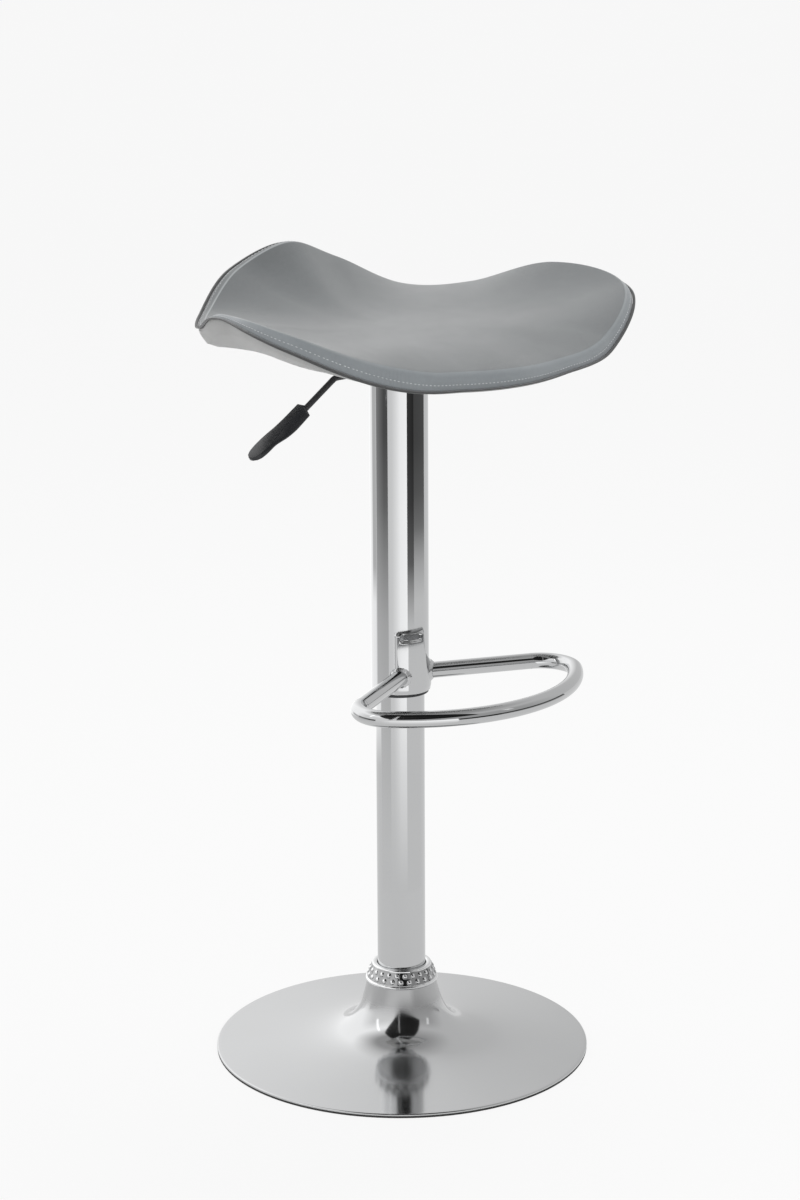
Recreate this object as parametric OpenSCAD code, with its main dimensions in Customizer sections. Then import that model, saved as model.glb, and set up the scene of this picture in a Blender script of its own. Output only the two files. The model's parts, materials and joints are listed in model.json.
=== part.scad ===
// Height-adjustable swivel bar stool with a saddle seat, a trumpet base and a bent footrest.
// The origin is on the floor at the column's axis, +Z is up, and a person on the seat faces -Y.

/* [Base] */
// Diameter of the base
base_d = 390; // [340:5:450]
// Thickness of the sheet that the base is spun from
sheet_t = 2; // [1:0.5:3]
// Height of the neck's top edge over the floor
neck_h = 73; // [60:1:90]
// Diameter of the neck at its top edge
neck_d = 72; // [68:1:80]
// How far the dish climbs from its rim to the neck, without the flare
dish_rise = 12; // [6:1:20]
// Power of the flare that turns the dish into the neck
flare = 3.2; // [2.4:0.1:4.5]
// Height of the rubber ring that the base stands on
foot_h = 2.2; // [1.5:0.1:4]
// Width of the rubber ring
foot_w = 7.5; // [5:0.5:12]
// How far inside the base's rim the cast weight ends
weight_in = 27; // [25:1:50]
// Height of the weight's underside over the floor
weight_lift = 3; // [2.5:0.5:4]
// Outer diameter of the hub's barrel
hub_d = 60; // [58:1:62]
// Diameter of the hub's bottom flange
hub_flange_d = 110; // [90:5:130]
// Thickness of the hub's flanges
hub_flange_t = 5; // [4:0.5:6]

/* [Collar] */
// Height of the beaded collar
collar_h = 19; // [15:1:24]
// Diameter of the collar's bottom flange
collar_d = 76; // [74:1:84]
// Diameter of the collar's shoulder at its top
collar_top_d = 62; // [58:1:66]
// Thickness of the collar's wall
collar_t = 1.6; // [1:0.1:2.5]
// Height of the collar's plain bottom flange
collar_flange_h = 3.4; // [2:0.2:5]
// Diameter of one bead
bead_d = 5.6; // [3:0.2:6]
// Beads in each of the two rows
beads = 24; // [12:1:28]

/* [Column] */
// Outer diameter of the standing tube
tube_d = 50; // [48:0.5:52]
// Wall of the standing tube
tube_wall = 1.5; // [1:0.1:2]
// Height of the standing tube's foot over the floor
tube_foot = 12; // [11:0.5:14]
// Height of the standing tube's top over the floor
tube_top = 455; // [420:5:460]
// Length of the taper at the standing tube's foot
tube_taper_h = 50; // [40:1:55]
// How much the taper narrows the tube's radius
tube_taper = 0.6; // [0.3:0.1:1]
// Thickness of the plate that closes the tube's foot
foot_plate_t = 4; // [3:0.5:6]
// Length of the plastic guide bush in the tube's top
guide_h = 85; // [70:1:95]
// Thickness of the guide bush's top flange
guide_flange_t = 2; // [1:0.5:3]

/* [Sleeve] */
// Outer diameter of the sleeve that rises with the seat
sleeve_d = 59; // [58:0.5:62]
// Wall of the sleeve
sleeve_wall = 1.5; // [1:0.1:2]
// Height of the sleeve's lower end with the lift fully out
sleeve_end = 390.5; // [380:0.5:400]
// Length of the sleeve
sleeve_l = 319.5; // [312:0.5:330]
// Travel of the lift
stroke = 210; // [180:5:215]
// Length of the black guide ring inside the sleeve's lower end
ring_bush_h = 25; // [15:1:40]
// Height of the guide ring's visible lip
ring_lip_h = 3.2; // [1.5:0.1:4]
// Thickness of the ring that centres the sleeve's top on the gas cylinder
top_ring_h = 12; // [8:1:14]

/* [Gas lift] */
// Outer diameter of the gas cylinder
cylinder_d = 28; // [27:0.5:30]
// Wall of the gas cylinder
cylinder_wall = 3; // [2:0.5:4]
// Height of the gas cylinder's lower end over the guide bush's with the lift fully out
cylinder_in = 10; // [4:1:16]
// Diameter of the piston rod
rod_d = 10; // [8:0.5:11]
// Length of the rod's guide inside the cylinder's lower end
rod_guide_h = 20; // [12:1:24]
// Length of the piston
piston_h = 10; // [8:1:14]
// Diameter of the valve pin that the lever presses
pin_d = 5; // [4:0.5:6]
// Length of the valve pin
pin_l = 42; // [30:1:50]
// Length of the cylinder's top taper
top_taper_h = 24; // [20:1:28]
// How much the top taper narrows the cylinder's radius
top_taper = 0.8; // [0.3:0.1:1.2]
// Height of the rubber bump stop on the rod
bump_h = 26; // [16:1:40]
// Diameter of the rubber bump stop
bump_d = 26; // [20:1:36]

/* [Thrust bearing] */
// Outer diameter of the bearing's races
race_d = 30; // [28:1:36]
// Thickness of each race
race_t = 2; // [1.5:0.5:3]
// Diameter of one ball
ball_d = 4; // [3:0.5:5]
// Number of balls
balls = 12; // [6:1:14]

/* [Footrest] */
// Diameter of the footrest's tube
rest_d = 16.4; // [12:0.2:20]
// Wall of the footrest's tube
rest_wall = 1.5; // [1:0.1:2.5]
// Height of the footrest's tube over the sleeve's lower end
rest_lift = 18.5; // [12:0.5:24]
// Radius of the footrest's front arc, to the middle of its tube
rest_arc_r = 171.5; // [150:0.5:190]
// How far the front arc's centre lies in front of the column's axis
rest_arc_out = 10.7; // [0:0.1:20]
// Angle between the front direction and each leg
rest_spread = 64; // [50:1:75]
// How far in front of the column's axis the legs' lines meet
rest_apex = 12; // [0:0.5:16]
// Bend radius of the two corners, to the middle of the tube
rest_bend_r = 33.5; // [24:0.5:50]
// Thickness of the bracket's wall
bracket_t = 1.7; // [1.2:0.1:3]
// How much further the bracket's tongue stands out
bracket_swell = 1.6; // [0.5:0.1:3]
// Height of the bracket's tongue
bracket_h = 65.5; // [50:0.5:80]
// Height of the bracket's band
band_h = 29; // [24:1:36]
// Height of the shoulder at the tongue's top
shoulder_h = 14; // [6:1:20]
// Angle that the band reaches to each side of the front
band_reach = 54; // [40:1:70]
// Width of the tongue across the front
tongue_w = 30; // [20:1:40]
// Width of the bead of weld round each leg
weld_w = 3; // [2:0.5:5]

/* [Lever] */
// Diameter of the lever's rod
lever_d = 6; // [5:0.5:7]
// How far from the column's axis the rod bends down
lever_bend = 86; // [74:1:96]
// How steeply the outer part of the lever points down
lever_droop = 33; // [10:0.5:45]
// Radius of the bend in the lever's rod
lever_bend_r = 12; // [8:1:20]
// Length of the rod from its bend to the handle
lever_out = 49; // [30:1:70]
// Length of the handle
handle_l = 79; // [60:1:110]
// Width of the handle's socket
socket_w = 10.5; // [9:0.5:16]
// Height of the handle's socket
socket_h = 14.5; // [10:0.5:20]
// Length of the handle's socket
socket_l = 22; // [14:1:28]
// Width of the handle's blade
blade_w = 19; // [14:0.5:26]
// Thickness of the handle's blade
blade_t = 6; // [5:0.5:12]

/* [Seat carrier] */
// Side of the square plate under the seat
plate_w = 130; // [120:1:140]
// Thickness of the plate and of the box under it
plate_t = 2.5; // [2:0.5:4]
// Radius of the plate's corners
plate_corner = 10; // [4:1:16]
// Height of the box that holds the lever
box_h = 23.5; // [22:0.5:32]
// Width of the box along the lever
box_length = 60; // [56:1:90]
// Width of the box across the lever
box_w = 54; // [50:1:80]
// Distance between the bolts that hold the seat
bolt_pitch = 96; // [80:1:104]
// Diameter of the bolts
bolt_d = 6; // [5:1:8]

/* [Seat] */
// Reach of the seat's edge from the column's axis, at the front of its wings
seat_reach = 256; // [220:1:290]
// Height of the rear of the seat's edge over the front of its edge
seat_rise = 96; // [60:1:120]
// How far the seat's front edge lies below the plate's top
front_drop = 9; // [0:1:16]
// Thickness of the seat at the column's axis
seat_t = 30; // [24:1:45]
// Thickness of the moulded shell inside the seat
shell_t = 10; // [8:0.5:12]
// Thickness of the shell at its edge
shell_edge_t = 6; // [4:0.5:8]
// How far the seat's upper edge lies above its seam
edge_h = 11; // [8:0.5:18]
// How far the seat's upper edge lies inside its seam
edge_in = 8; // [5:0.5:14]
// Thickness of the cover under the seat
cover_t = 1.5; // [1:0.1:3]
// Width of the sewn flange round the seat
seam_w = 3; // [2:0.2:5]
// Thickness of the sewn flange
seam_t = 2.4; // [1.5:0.1:4]

/* [Hidden] */

// Overrun of a cut past the face it opens
cut = 1;
// Gap between pieces that are fixed to each other but drawn apart
seat_gap = 0.1;
// Gap between a soft piece and what it lies on
soft_gap = 0.3;
// Radial gap of a shaft that slides or turns in a guide
run_gap = 0.08;
// Radial gap of a loose guide or of a rod in a plain hole
loose_gap = 0.3;
// Sides of large and of small round pieces
round_n = 96;
small_n = 48;
// Angle by which half of the front arc runs past the middle before it is cut there
arc_overrun = 10;
// Ridge that the bender leaves where a bend meets a straight length
mark_l = 1.2;
mark_h = 0.1;

// Base
base_r = base_d / 2;
neck_r = neck_d / 2;
rim_top = foot_h + sheet_t;
flare_h = neck_h - rim_top - dish_rise;
dish_steps = 22;
hub_r = hub_d / 2;
hub_flange_r = hub_flange_d / 2;
weight_r = base_r - weight_in;
rim_roll = sheet_t / 2;

// Gas lift and column
tube_r = tube_d / 2;
tube_bore_r = tube_r - tube_wall;
sleeve_r = sleeve_d / 2;
sleeve_bore_r = sleeve_r - sleeve_wall;
sleeve_top = sleeve_end + sleeve_l;
cylinder_r = cylinder_d / 2;
cylinder_bore_r = cylinder_r - cylinder_wall;
cylinder_top = sleeve_top + plate_t + run_gap;
taper_foot = cylinder_top - top_taper_h;
gas_top = taper_foot - piston_h;
rod_r = rod_d / 2;
spigot_r = rod_r * 0.8;
groove_r = rod_r * 0.68;
foot_hole_r = spigot_r + 4 * loose_gap;
pin_r = pin_d / 2;
guide_foot = tube_top - guide_h;
cylinder_foot = guide_foot + cylinder_in;
bearing_z = tube_foot + foot_plate_t;
ball_z = bearing_z + race_t + ball_d / 2;
upper_race_z = bearing_z + race_t + ball_d;
rod_shoulder = upper_race_z + race_t;
race_r = race_d / 2;
ball_ring_r = (race_r + rod_r) / 2;
race_clear = 0.04;
washer_t = race_t * 0.75;
clip_t = race_t * 0.8;
washer_z = tube_foot - loose_gap - washer_t;
clip_z = washer_z - seat_gap - clip_t;
piston_foot = cylinder_foot + rod_guide_h + race_t;

// Lever and seat carrier
box_top = sleeve_top + box_h;
seat_z = box_top + plate_t;
lever_r = lever_d / 2;
lever_z = sleeve_top + box_h * 0.55;
pin_play = 0.4;
pin_top = lever_z - lever_r - pin_play;
lever_inner = lever_d * 1.3;
grommet_wall = 2;
grommet_flange_w = 2;
grommet_flange_t = 1.5;
grommet_r = lever_r + grommet_wall;
grommet_bore_r = lever_r + loose_gap + seat_gap;
grommet_flange_r = grommet_r + grommet_flange_w;
bolt_r = bolt_d / 2;
bolt_head_r = bolt_r * 1.8;
bolt_head_h = bolt_d * 0.65;
nut_barrel_r = bolt_r * 1.4;
nut_flange_r = bolt_d * 1.6;
nut_flange_t = bolt_d * 0.2;
hub_top_r = cylinder_r * 1.43;

// Seat
edge_front_z = seat_z - front_drop;
crown_z = seat_z + seat_t;
// Reach of the edge, from the front round to the rear, as shares of seat_reach
reach_shares = [0.69, 0.71, 0.835, 1, 0.9, 0.78, 0.765, 0.74, 0.68];
// Height of the edge over its front, from the front round to the rear, as shares of seat_rise
rise_shares = [0, 0.02, 0.125, 0.59, 0.72, 0.48, 0.44, 0.77, 1];
// Share of the way out over which the underside and the top stay flat, and how they climb after it
under_flat_share = 0.42;
under_power = 1.6;
top_flat_share = 0.12;
top_power = 2.1;
wave_power = 2.6;
// Points round every ring of the seat
seat_n = 64;
// Rings as shares of the way out: the cushion's top, the shell and the cover under it
top_ring_shares = [0.18, 0.34, 0.48, 0.61, 0.72, 0.82, 0.9, 0.96, 1];
shell_ring_shares = [0.3, 0.42, 0.57, 0.73, 0.87];
lap_share = 0.88;
edge_turns = [30, 60, 90];

// Smooth value between p1 and p2 at t from 0 to 1
function smooth(p0, p1, p2, p3, t) = (2 * p1 + (p2 - p0) * t + (2 * p0 - 5 * p1 + 4 * p2 - p3) * t * t
    + (3 * p1 - p0 - 3 * p2 + p3) * t * t * t) / 2;
// Value of a table that runs from the front to the rear, the same on both sides, at angle a
function round_seat(table, a) = let (
    last = len(table) - 1,
    turn = abs(a > 180 ? a - 360 : a) * last / 180,
    i = min(floor(turn), last - 1),
    before = table[i == 0 ? 1 : i - 1],
    after = table[i + 2 > last ? last - 1 : i + 2])
    smooth(before, table[i], table[i + 1], after, turn - i);
// The same table with each value drawn towards its neighbours
function soften(table) = let (last = len(table) - 1) [for (i = [0:last])
    (table[i == 0 ? 1 : i - 1] + 2 * table[i] + table[i == last ? last - 1 : i + 1]) / 4];
soft_rise_shares = soften(soften(rise_shares));
function climb(s, flat_share, power) = pow(max(0, (s - flat_share) / (1 - flat_share)), power);
function reach(a) = seat_reach * round_seat(reach_shares, a);
function seam_z(a) = edge_front_z + seat_rise * round_seat(rise_shares, a);
function soft_seam_z(a) = edge_front_z + seat_rise * round_seat(soft_rise_shares, a);
// Height that the edge's lobes add, which fades towards the middle faster than the rest
function wave(s, a) = (seam_z(a) - soft_seam_z(a)) * climb(s, under_flat_share, wave_power);
// Underside of the seat at share s of the way out to the seam
function under_z(s, a) = seat_z + (soft_seam_z(a) - cover_t - seat_z)
    * climb(s, under_flat_share, under_power)
    + wave(s, a);
// Top of the seat at share s of the way out to the upper edge
function top_z(s, a) = crown_z + (soft_seam_z(a) + edge_h - crown_z) * climb(s, top_flat_share, top_power)
    + wave(s, a);
function shell_thickness(s) = shell_t + (shell_edge_t - shell_t) * pow(s, 3);
function spot(r, a, z) = [r * sin(a), -r * cos(a), z];

// Closed solid through rings of points, from a top point out and round to a bottom point. The rings
// from number back on come inwards again, and their facets run the same way as those of the top.
module lofted(top, rings, bottom, back) {
    n = seat_n;
    count = len(rings);
    points = concat([top], [for (ring = rings) each ring], [bottom]);
    last = len(points) - 1;
    faces = concat(
        [for (j = [0:n - 1]) [0, 1 + (j + 1) % n, 1 + j]],
        [for (i = [0:count - 2], j = [0:n - 1]) let (k = 1 + i * n, m = (j + 1) % n)
            i < back ? [k + m, k + n + m, k + n + j] : [k + j, k + m, k + n + m]],
        [for (i = [0:count - 2], j = [0:n - 1]) let (k = 1 + i * n, m = (j + 1) % n)
            i < back ? [k + m, k + n + j, k + j] : [k + j, k + n + m, k + n + j]],
        [for (j = [0:n - 1]) [last, 1 + (count - 1) * n + j, 1 + (count - 1) * n + (j + 1) % n]]);
    polyhedron(points, faces, convexity = 6);
}

module ring_body(r_out, r_in, h, n = round_n) {
    difference() {
        cylinder(r = r_out, h = h, $fn = n);
        translate([0, 0, -cut]) cylinder(r = r_in, h = h + 2 * cut, $fn = n);
    }
}

// Height and slope of the base's upper surface at radius r
function base_z(r) = let (rim_share = pow(neck_r / base_r, flare))
    rim_top + dish_rise * (base_r - r) / (base_r - neck_r)
    + flare_h * (pow(neck_r / r, flare) - rim_share) / (1 - rim_share);
function base_slope(r) = (base_z(r + cut / 10) - base_z(r)) / (cut / 10);
function dish_r(i) = neck_r + (base_r - rim_roll - neck_r) * pow(i / dish_steps, 2);
// Point at depth t under the base's upper surface
function base_under(r, t) = let (slope = base_slope(r), size = sqrt(1 + slope * slope))
    [r + t * slope / size, base_z(r) - t / size];

module base_cover() color("gainsboro") rotate_extrude($fn = round_n) polygon(concat(
    [for (i = [0:dish_steps]) [dish_r(i), base_z(dish_r(i))]],
    [[base_r, rim_top - rim_roll], [base_r, foot_h], [base_r - sheet_t - rim_roll, foot_h]],
    [for (i = [dish_steps - 1:-1:0]) base_under(dish_r(i), sheet_t)]));

module base_weight() {
    first_r = hub_r + loose_gap;
    steps = 12;
    depth = sheet_t + loose_gap;
    inner_top = neck_h * 0.3;
    color("dimgray") rotate_extrude($fn = round_n) polygon(concat(
        [for (i = [0:steps]) let (p = base_under(first_r + sheet_t + (weight_r - first_r) * i / steps, depth))
            [max(first_r, p[0]), min(inner_top, p[1])]],
        [[weight_r, weight_lift],
         [hub_flange_r + loose_gap, weight_lift],
         [hub_flange_r + loose_gap, weight_lift + hub_flange_t + seat_gap],
         [first_r, weight_lift + hub_flange_t + seat_gap]]));
}

module taper_space(grow) {
    translate([0, 0, tube_foot - grow])
        cylinder(r1 = tube_r - tube_taper + grow, r2 = tube_r + grow, h = tube_taper_h + grow, $fn = round_n);
    translate([0, 0, tube_foot + tube_taper_h - grow])
        cylinder(r = tube_r + grow, h = neck_h, $fn = round_n);
}

module base_hub() {
    collar_r = neck_r - sheet_t - loose_gap;
    top = neck_h - sheet_t;
    color("gray") difference() {
        union() {
            translate([0, 0, weight_lift]) cylinder(r = hub_flange_r, h = hub_flange_t, $fn = round_n);
            translate([0, 0, weight_lift]) cylinder(r = hub_r, h = top - weight_lift, $fn = round_n);
            translate([0, 0, top - hub_flange_t]) cylinder(r = collar_r, h = hub_flange_t, $fn = round_n);
        }
        taper_space(seat_gap);
        cylinder(r = tube_r - tube_taper - foot_plate_t / 2, h = neck_h, $fn = round_n);
    }
}

module floor_ring() color("black") ring_body(base_r - seat_gap, base_r - foot_w, foot_h);

module column_collar() {
    r_low = collar_d / 2;
    r_foot = r_low - collar_t;
    r_top = collar_top_d / 2;
    flange_top = neck_h + collar_flange_h;
    top = neck_h + collar_h;
    bore = tube_r + loose_gap;
    lip = bore + collar_t;
    bead_r = bead_d / 2;
    wall_h = top - collar_t - flange_top;
    row_shares = [0.28, 0.72];
    color("gainsboro") {
        rotate_extrude($fn = round_n) polygon([
            [r_low - collar_flange_h / 4, neck_h], [r_low, neck_h + collar_flange_h / 3],
            [r_low, neck_h + collar_flange_h * 2 / 3], [r_low - collar_flange_h / 4, flange_top],
            [r_foot, flange_top], [r_top, top - collar_t], [r_top - collar_t, top],
            [lip, top], [bore, top - collar_t / 2], [bore, top - 2 * collar_t],
            [r_top - 2 * collar_t, top - 2 * collar_t], [r_foot - 1.5 * collar_t, neck_h]]);
        for (row = [0, 1], i = [0:beads - 1])
            let (share = row_shares[row], r = r_foot + (r_top - r_foot) * share - bead_r / 3)
                rotate([0, 0, 360 * (i + row / 2) / beads]) translate([r, 0, flange_top + wall_h * share])
                    sphere(d = bead_d, $fn = small_n / 2);
    }
}

module column_tube() color("gainsboro") difference() {
    union() {
        translate([0, 0, tube_foot])
            cylinder(r1 = tube_r - tube_taper, r2 = tube_r, h = tube_taper_h, $fn = round_n);
        translate([0, 0, tube_foot + tube_taper_h])
            cylinder(r = tube_r, h = tube_top - tube_foot - tube_taper_h, $fn = round_n);
    }
    translate([0, 0, tube_foot + foot_plate_t])
        cylinder(r1 = tube_bore_r - tube_taper, r2 = tube_bore_r, h = tube_taper_h, $fn = round_n);
    translate([0, 0, tube_foot + foot_plate_t + tube_taper_h])
        cylinder(r = tube_bore_r, h = tube_top, $fn = round_n);
    cylinder(r = foot_hole_r, h = tube_top, $fn = small_n);
}

module guide_bush() color("black") difference() {
    union() {
        translate([0, 0, guide_foot]) cylinder(r = tube_bore_r - seat_gap / 2, h = guide_h, $fn = round_n);
        translate([0, 0, tube_top]) cylinder(r = tube_r - seat_gap, h = guide_flange_t, $fn = round_n);
    }
    translate([0, 0, guide_foot - cut])
        cylinder(r = cylinder_r + run_gap, h = guide_h + guide_flange_t + 2 * cut, $fn = round_n);
}

module lower_race() color("silver") translate([0, 0, bearing_z])
    ring_body(race_r, foot_hole_r, race_t - race_clear, small_n);

module ball_cage() {
    cage_t = ball_d / 2;
    color("goldenrod") translate([0, 0, ball_z - cage_t / 2]) difference() {
        ring_body(race_r - loose_gap, rod_r + loose_gap, cage_t, small_n);
        for (i = [0:balls - 1]) rotate([0, 0, 360 * i / balls])
            translate([ball_ring_r, 0, -cut])
                cylinder(d = ball_d + loose_gap, h = cage_t + 2 * cut, $fn = small_n);
    }
}

module bearing_balls() color("silver") for (i = [0:balls - 1])
    rotate([0, 0, 360 * i / balls]) translate([ball_ring_r, 0, ball_z]) sphere(d = ball_d, $fn = small_n);

module upper_race() color("silver") translate([0, 0, upper_race_z + race_clear])
    ring_body(race_r, spigot_r + seat_gap, race_t - race_clear, small_n);

module piston_rod() color("silver") {
    translate([0, 0, rod_shoulder])
        cylinder(r = rod_r, h = piston_foot + piston_h - rod_shoulder, $fn = small_n);
    translate([0, 0, clip_z + clip_t])
        cylinder(r = spigot_r, h = rod_shoulder - clip_z - clip_t, $fn = small_n);
    translate([0, 0, clip_z]) cylinder(r = groove_r, h = clip_t, $fn = small_n);
    translate([0, 0, clip_z - clip_t]) cylinder(r = spigot_r, h = clip_t, $fn = small_n);
}

module piston() color("gray") translate([0, 0, piston_foot])
    ring_body(cylinder_bore_r - run_gap, rod_r + run_gap / 2, piston_h);

module bump_stop() color("black") translate([0, 0, rod_shoulder])
    ring_body(bump_d / 2, rod_r + seat_gap, bump_h, small_n);

module rod_washer() color("silver") translate([0, 0, washer_z])
    ring_body(rod_d, spigot_r + seat_gap, washer_t, small_n);

module rod_clip() color("gray") translate([0, 0, clip_z]) difference() {
    cylinder(r = spigot_r * 1.9, h = clip_t, $fn = small_n);
    translate([0, 0, -cut]) cylinder(r = groove_r + seat_gap, h = clip_t + 2 * cut, $fn = small_n);
    translate([0, -groove_r, -cut]) cube([rod_d * 2, groove_r * 2, clip_t + 2 * cut]);
}

module gas_cylinder() color("dimgray") difference() {
    union() {
        translate([0, 0, cylinder_foot])
            cylinder(r = cylinder_r, h = taper_foot - cylinder_foot, $fn = round_n);
        translate([0, 0, taper_foot])
            cylinder(r1 = cylinder_r, r2 = cylinder_r - top_taper, h = top_taper_h, $fn = round_n);
    }
    translate([0, 0, cylinder_foot - cut])
        cylinder(r = cylinder_bore_r, h = gas_top - cylinder_foot + cut, $fn = round_n);
    translate([0, 0, gas_top - cut])
        cylinder(r = pin_r + run_gap, h = cylinder_top - gas_top + 2 * cut, $fn = small_n);
}

module rod_guide() color("black") translate([0, 0, cylinder_foot])
    ring_body(cylinder_bore_r - run_gap / 2, rod_r + run_gap, rod_guide_h);

module release_pin() color("silver") {
    translate([0, 0, pin_top - pin_l]) cylinder(r = pin_r, h = pin_l - pin_r / 2, $fn = small_n);
    translate([0, 0, pin_top - pin_r / 2]) cylinder(r1 = pin_r, r2 = pin_r / 2, h = pin_r / 2, $fn = small_n);
}

module sleeve_tube() color("gainsboro") translate([0, 0, sleeve_end])
    ring_body(sleeve_r, sleeve_bore_r, sleeve_l);

module sleeve_bush() color("black") difference() {
    union() {
        translate([0, 0, sleeve_end])
            cylinder(r = sleeve_bore_r - seat_gap / 2, h = ring_bush_h, $fn = round_n);
        translate([0, 0, sleeve_end - ring_lip_h])
            cylinder(r = sleeve_r - loose_gap, h = ring_lip_h, $fn = round_n);
    }
    translate([0, 0, sleeve_end - ring_lip_h - cut])
        cylinder(r = tube_r + loose_gap, h = ring_bush_h + ring_lip_h + 2 * cut, $fn = round_n);
}

module sleeve_top_ring() color("gray") translate([0, 0, taper_foot - seat_gap - top_ring_h])
    ring_body(sleeve_bore_r - seat_gap / 2, cylinder_r + seat_gap / 2, top_ring_h);

// Footrest: the legs leave one point in front of the column and meet the front arc in round corners
rest_z = sleeve_end + rest_lift;
rest_r = rest_d / 2;
leg_dir = [sin(rest_spread), -cos(rest_spread)];
leg_in = [-cos(rest_spread), -sin(rest_spread)];
bend_start = [0, rest_arc_out - rest_apex] + rest_bend_r * leg_in;
bend_along = bend_start * leg_dir;
leg_l = -bend_along + sqrt(bend_along * bend_along - bend_start * bend_start
    + (rest_arc_r - rest_bend_r) * (rest_arc_r - rest_bend_r));
bend_from_arc = bend_start + leg_l * leg_dir;
arc_end = atan2(bend_from_arc[1], bend_from_arc[0]);
bracket_r = sleeve_r + bracket_t;
leg_root = sqrt(bracket_r * bracket_r - pow(rest_apex * leg_in[0] * tan(rest_spread), 2)) / 2;

module tube_cut() difference() {
    circle(r = rest_r, $fn = small_n);
    circle(r = rest_r - rest_wall, $fn = small_n);
}

// Half of the ring, from the front's middle round the corner and back along the leg
module rest_half() difference() {
    translate([0, -rest_arc_out, rest_z]) rotate([0, 0, arc_end]) union() {
        rotate_extrude(angle = -90 - arc_overrun - arc_end, $fn = round_n) translate([rest_arc_r, 0])
            tube_cut();
        translate([rest_arc_r - rest_bend_r, 0, 0]) {
            rotate_extrude(angle = rest_spread - arc_end, $fn = round_n)
                translate([rest_bend_r, 0]) tube_cut();
            rotate([0, 0, rest_spread - arc_end]) translate([rest_bend_r, 0, 0]) rotate([-90, 0, 0])
                linear_extrude(height = leg_l - leg_exit + rest_d) tube_cut();
            rotate([0, 0, rest_spread - arc_end]) translate([rest_bend_r, 0, 0]) rotate([-90, 0, 0])
                translate([0, 0, -mark_l / 2]) linear_extrude(height = mark_l) difference() {
                    circle(r = rest_r + mark_h, $fn = small_n);
                    circle(r = rest_r - rest_wall - mark_h, $fn = small_n);
                }
        }
    }
    translate([-rest_arc_r, -2 * rest_arc_r, rest_z - rest_d]) cube([rest_arc_r, 2 * rest_arc_r, 2 * rest_d]);
    translate([0, 0, rest_z - rest_d])
        cylinder(r = bracket_r + bracket_swell + seat_gap, h = 2 * rest_d, $fn = round_n);
}

module footrest_ring() color("gainsboro") union() {
    rest_half();
    mirror([1, 0, 0]) rest_half();
}

// Where a leg's line leaves the bracket's face
leg_exit = let (back = rest_apex * cos(rest_spread), face = bracket_r + bracket_swell)
    -back + sqrt(back * back - rest_apex * rest_apex + face * face);

// A bead of weld round one leg, with a round shoulder
module rest_weld() difference() {
    translate([leg_dir[0] * leg_exit, leg_dir[1] * leg_exit - rest_apex, rest_z])
        rotate([0, 0, rest_spread - 90]) rotate([0, 90, 0]) rotate_extrude($fn = small_n) polygon([
            [rest_r + seat_gap / 2, -2 * weld_w], [rest_r + weld_w / 2, -2 * weld_w],
            [rest_r + weld_w / 2, weld_w * 0.7], [rest_r + weld_w * 0.35, weld_w * 1.2],
            [rest_r + seat_gap / 2, weld_w * 1.5]]);
    translate([0, 0, rest_z - rest_d])
        cylinder(r = bracket_r + bracket_swell + seat_gap / 2, h = 2 * rest_d, $fn = round_n);
}

module footrest_welds() color("gainsboro") {
    rest_weld();
    mirror([1, 0, 0]) rest_weld();
}

module footrest_bracket() {
    inner = sleeve_r + seat_gap / 2;
    face = bracket_r + bracket_swell;
    top = sleeve_end + bracket_h;
    left = -bracket_r * sin(band_reach);
    tongue_right = left + tongue_w;
    band_top = sleeve_end + band_h;
    // The flare runs from the band up to the tongue's side
    flare_w = -left - tongue_right;
    flare_top = top - shoulder_h;
    flare_shares = [[1, 0], [0.52, 0.16], [0.24, 0.4], [0.08, 0.72], [0, 1]];
    corner = shoulder_h / 4;
    color("gainsboro") intersection() {
        rotate([0, 0, -90 - band_reach]) rotate_extrude(angle = 2 * band_reach, $fn = round_n) polygon([
            [inner, sleeve_end], [bracket_r, sleeve_end], [face, sleeve_end + rest_lift / 4],
            [face, flare_top], [inner + bracket_t / 2, top], [inner, top]]);
        translate([0, -sleeve_r / 2, 0]) rotate([90, 0, 0]) linear_extrude(height = sleeve_r * 2)
            polygon(concat(
                [[left - face, sleeve_end - cut], [face, sleeve_end - cut], [face, band_top]],
                [for (p = flare_shares)
                    [tongue_right + flare_w * p[0], band_top + (flare_top - band_top) * p[1]]],
                [[tongue_right, top - corner], [tongue_right - corner, top + cut], [left + corner, top + cut],
                 [left - corner, top - corner * 2], [left - face, top - corner * 2]]));
    }
}

module taper_hub() color("gray") difference() {
    translate([0, 0, taper_foot])
        cylinder(r = hub_top_r, h = sleeve_top + plate_t - taper_foot, $fn = round_n);
    translate([0, 0, taper_foot - seat_gap]) cylinder(r1 = cylinder_r + seat_gap / 2,
        r2 = cylinder_r - top_taper + seat_gap / 2, h = top_taper_h + seat_gap, $fn = round_n);
    translate([0, 0, sleeve_top])
        cylinder(r = cylinder_r - top_taper + seat_gap / 2, h = box_h, $fn = round_n);
}

module lever_box() color("dimgray") difference() {
    translate([-box_length / 2, -box_w / 2, sleeve_top]) cube([box_length, box_w, box_h]);
    translate([-box_length / 2 + plate_t, -box_w / 2 + plate_t, sleeve_top + plate_t])
        cube([box_length - 2 * plate_t, box_w - 2 * plate_t, box_h]);
    translate([0, 0, sleeve_top - cut])
        cylinder(r = hub_top_r + seat_gap / 2, h = plate_t + 2 * cut, $fn = round_n);
    translate([-box_length / 2 - cut, 0, lever_z]) rotate([0, 90, 0])
        cylinder(r = grommet_r + seat_gap / 2, h = plate_t + 2 * cut, $fn = small_n);
}

module at_bolts() for (x = [-1, 1], y = [-1, 1]) translate([x * bolt_pitch / 2, y * bolt_pitch / 2, 0])
    children();

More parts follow.
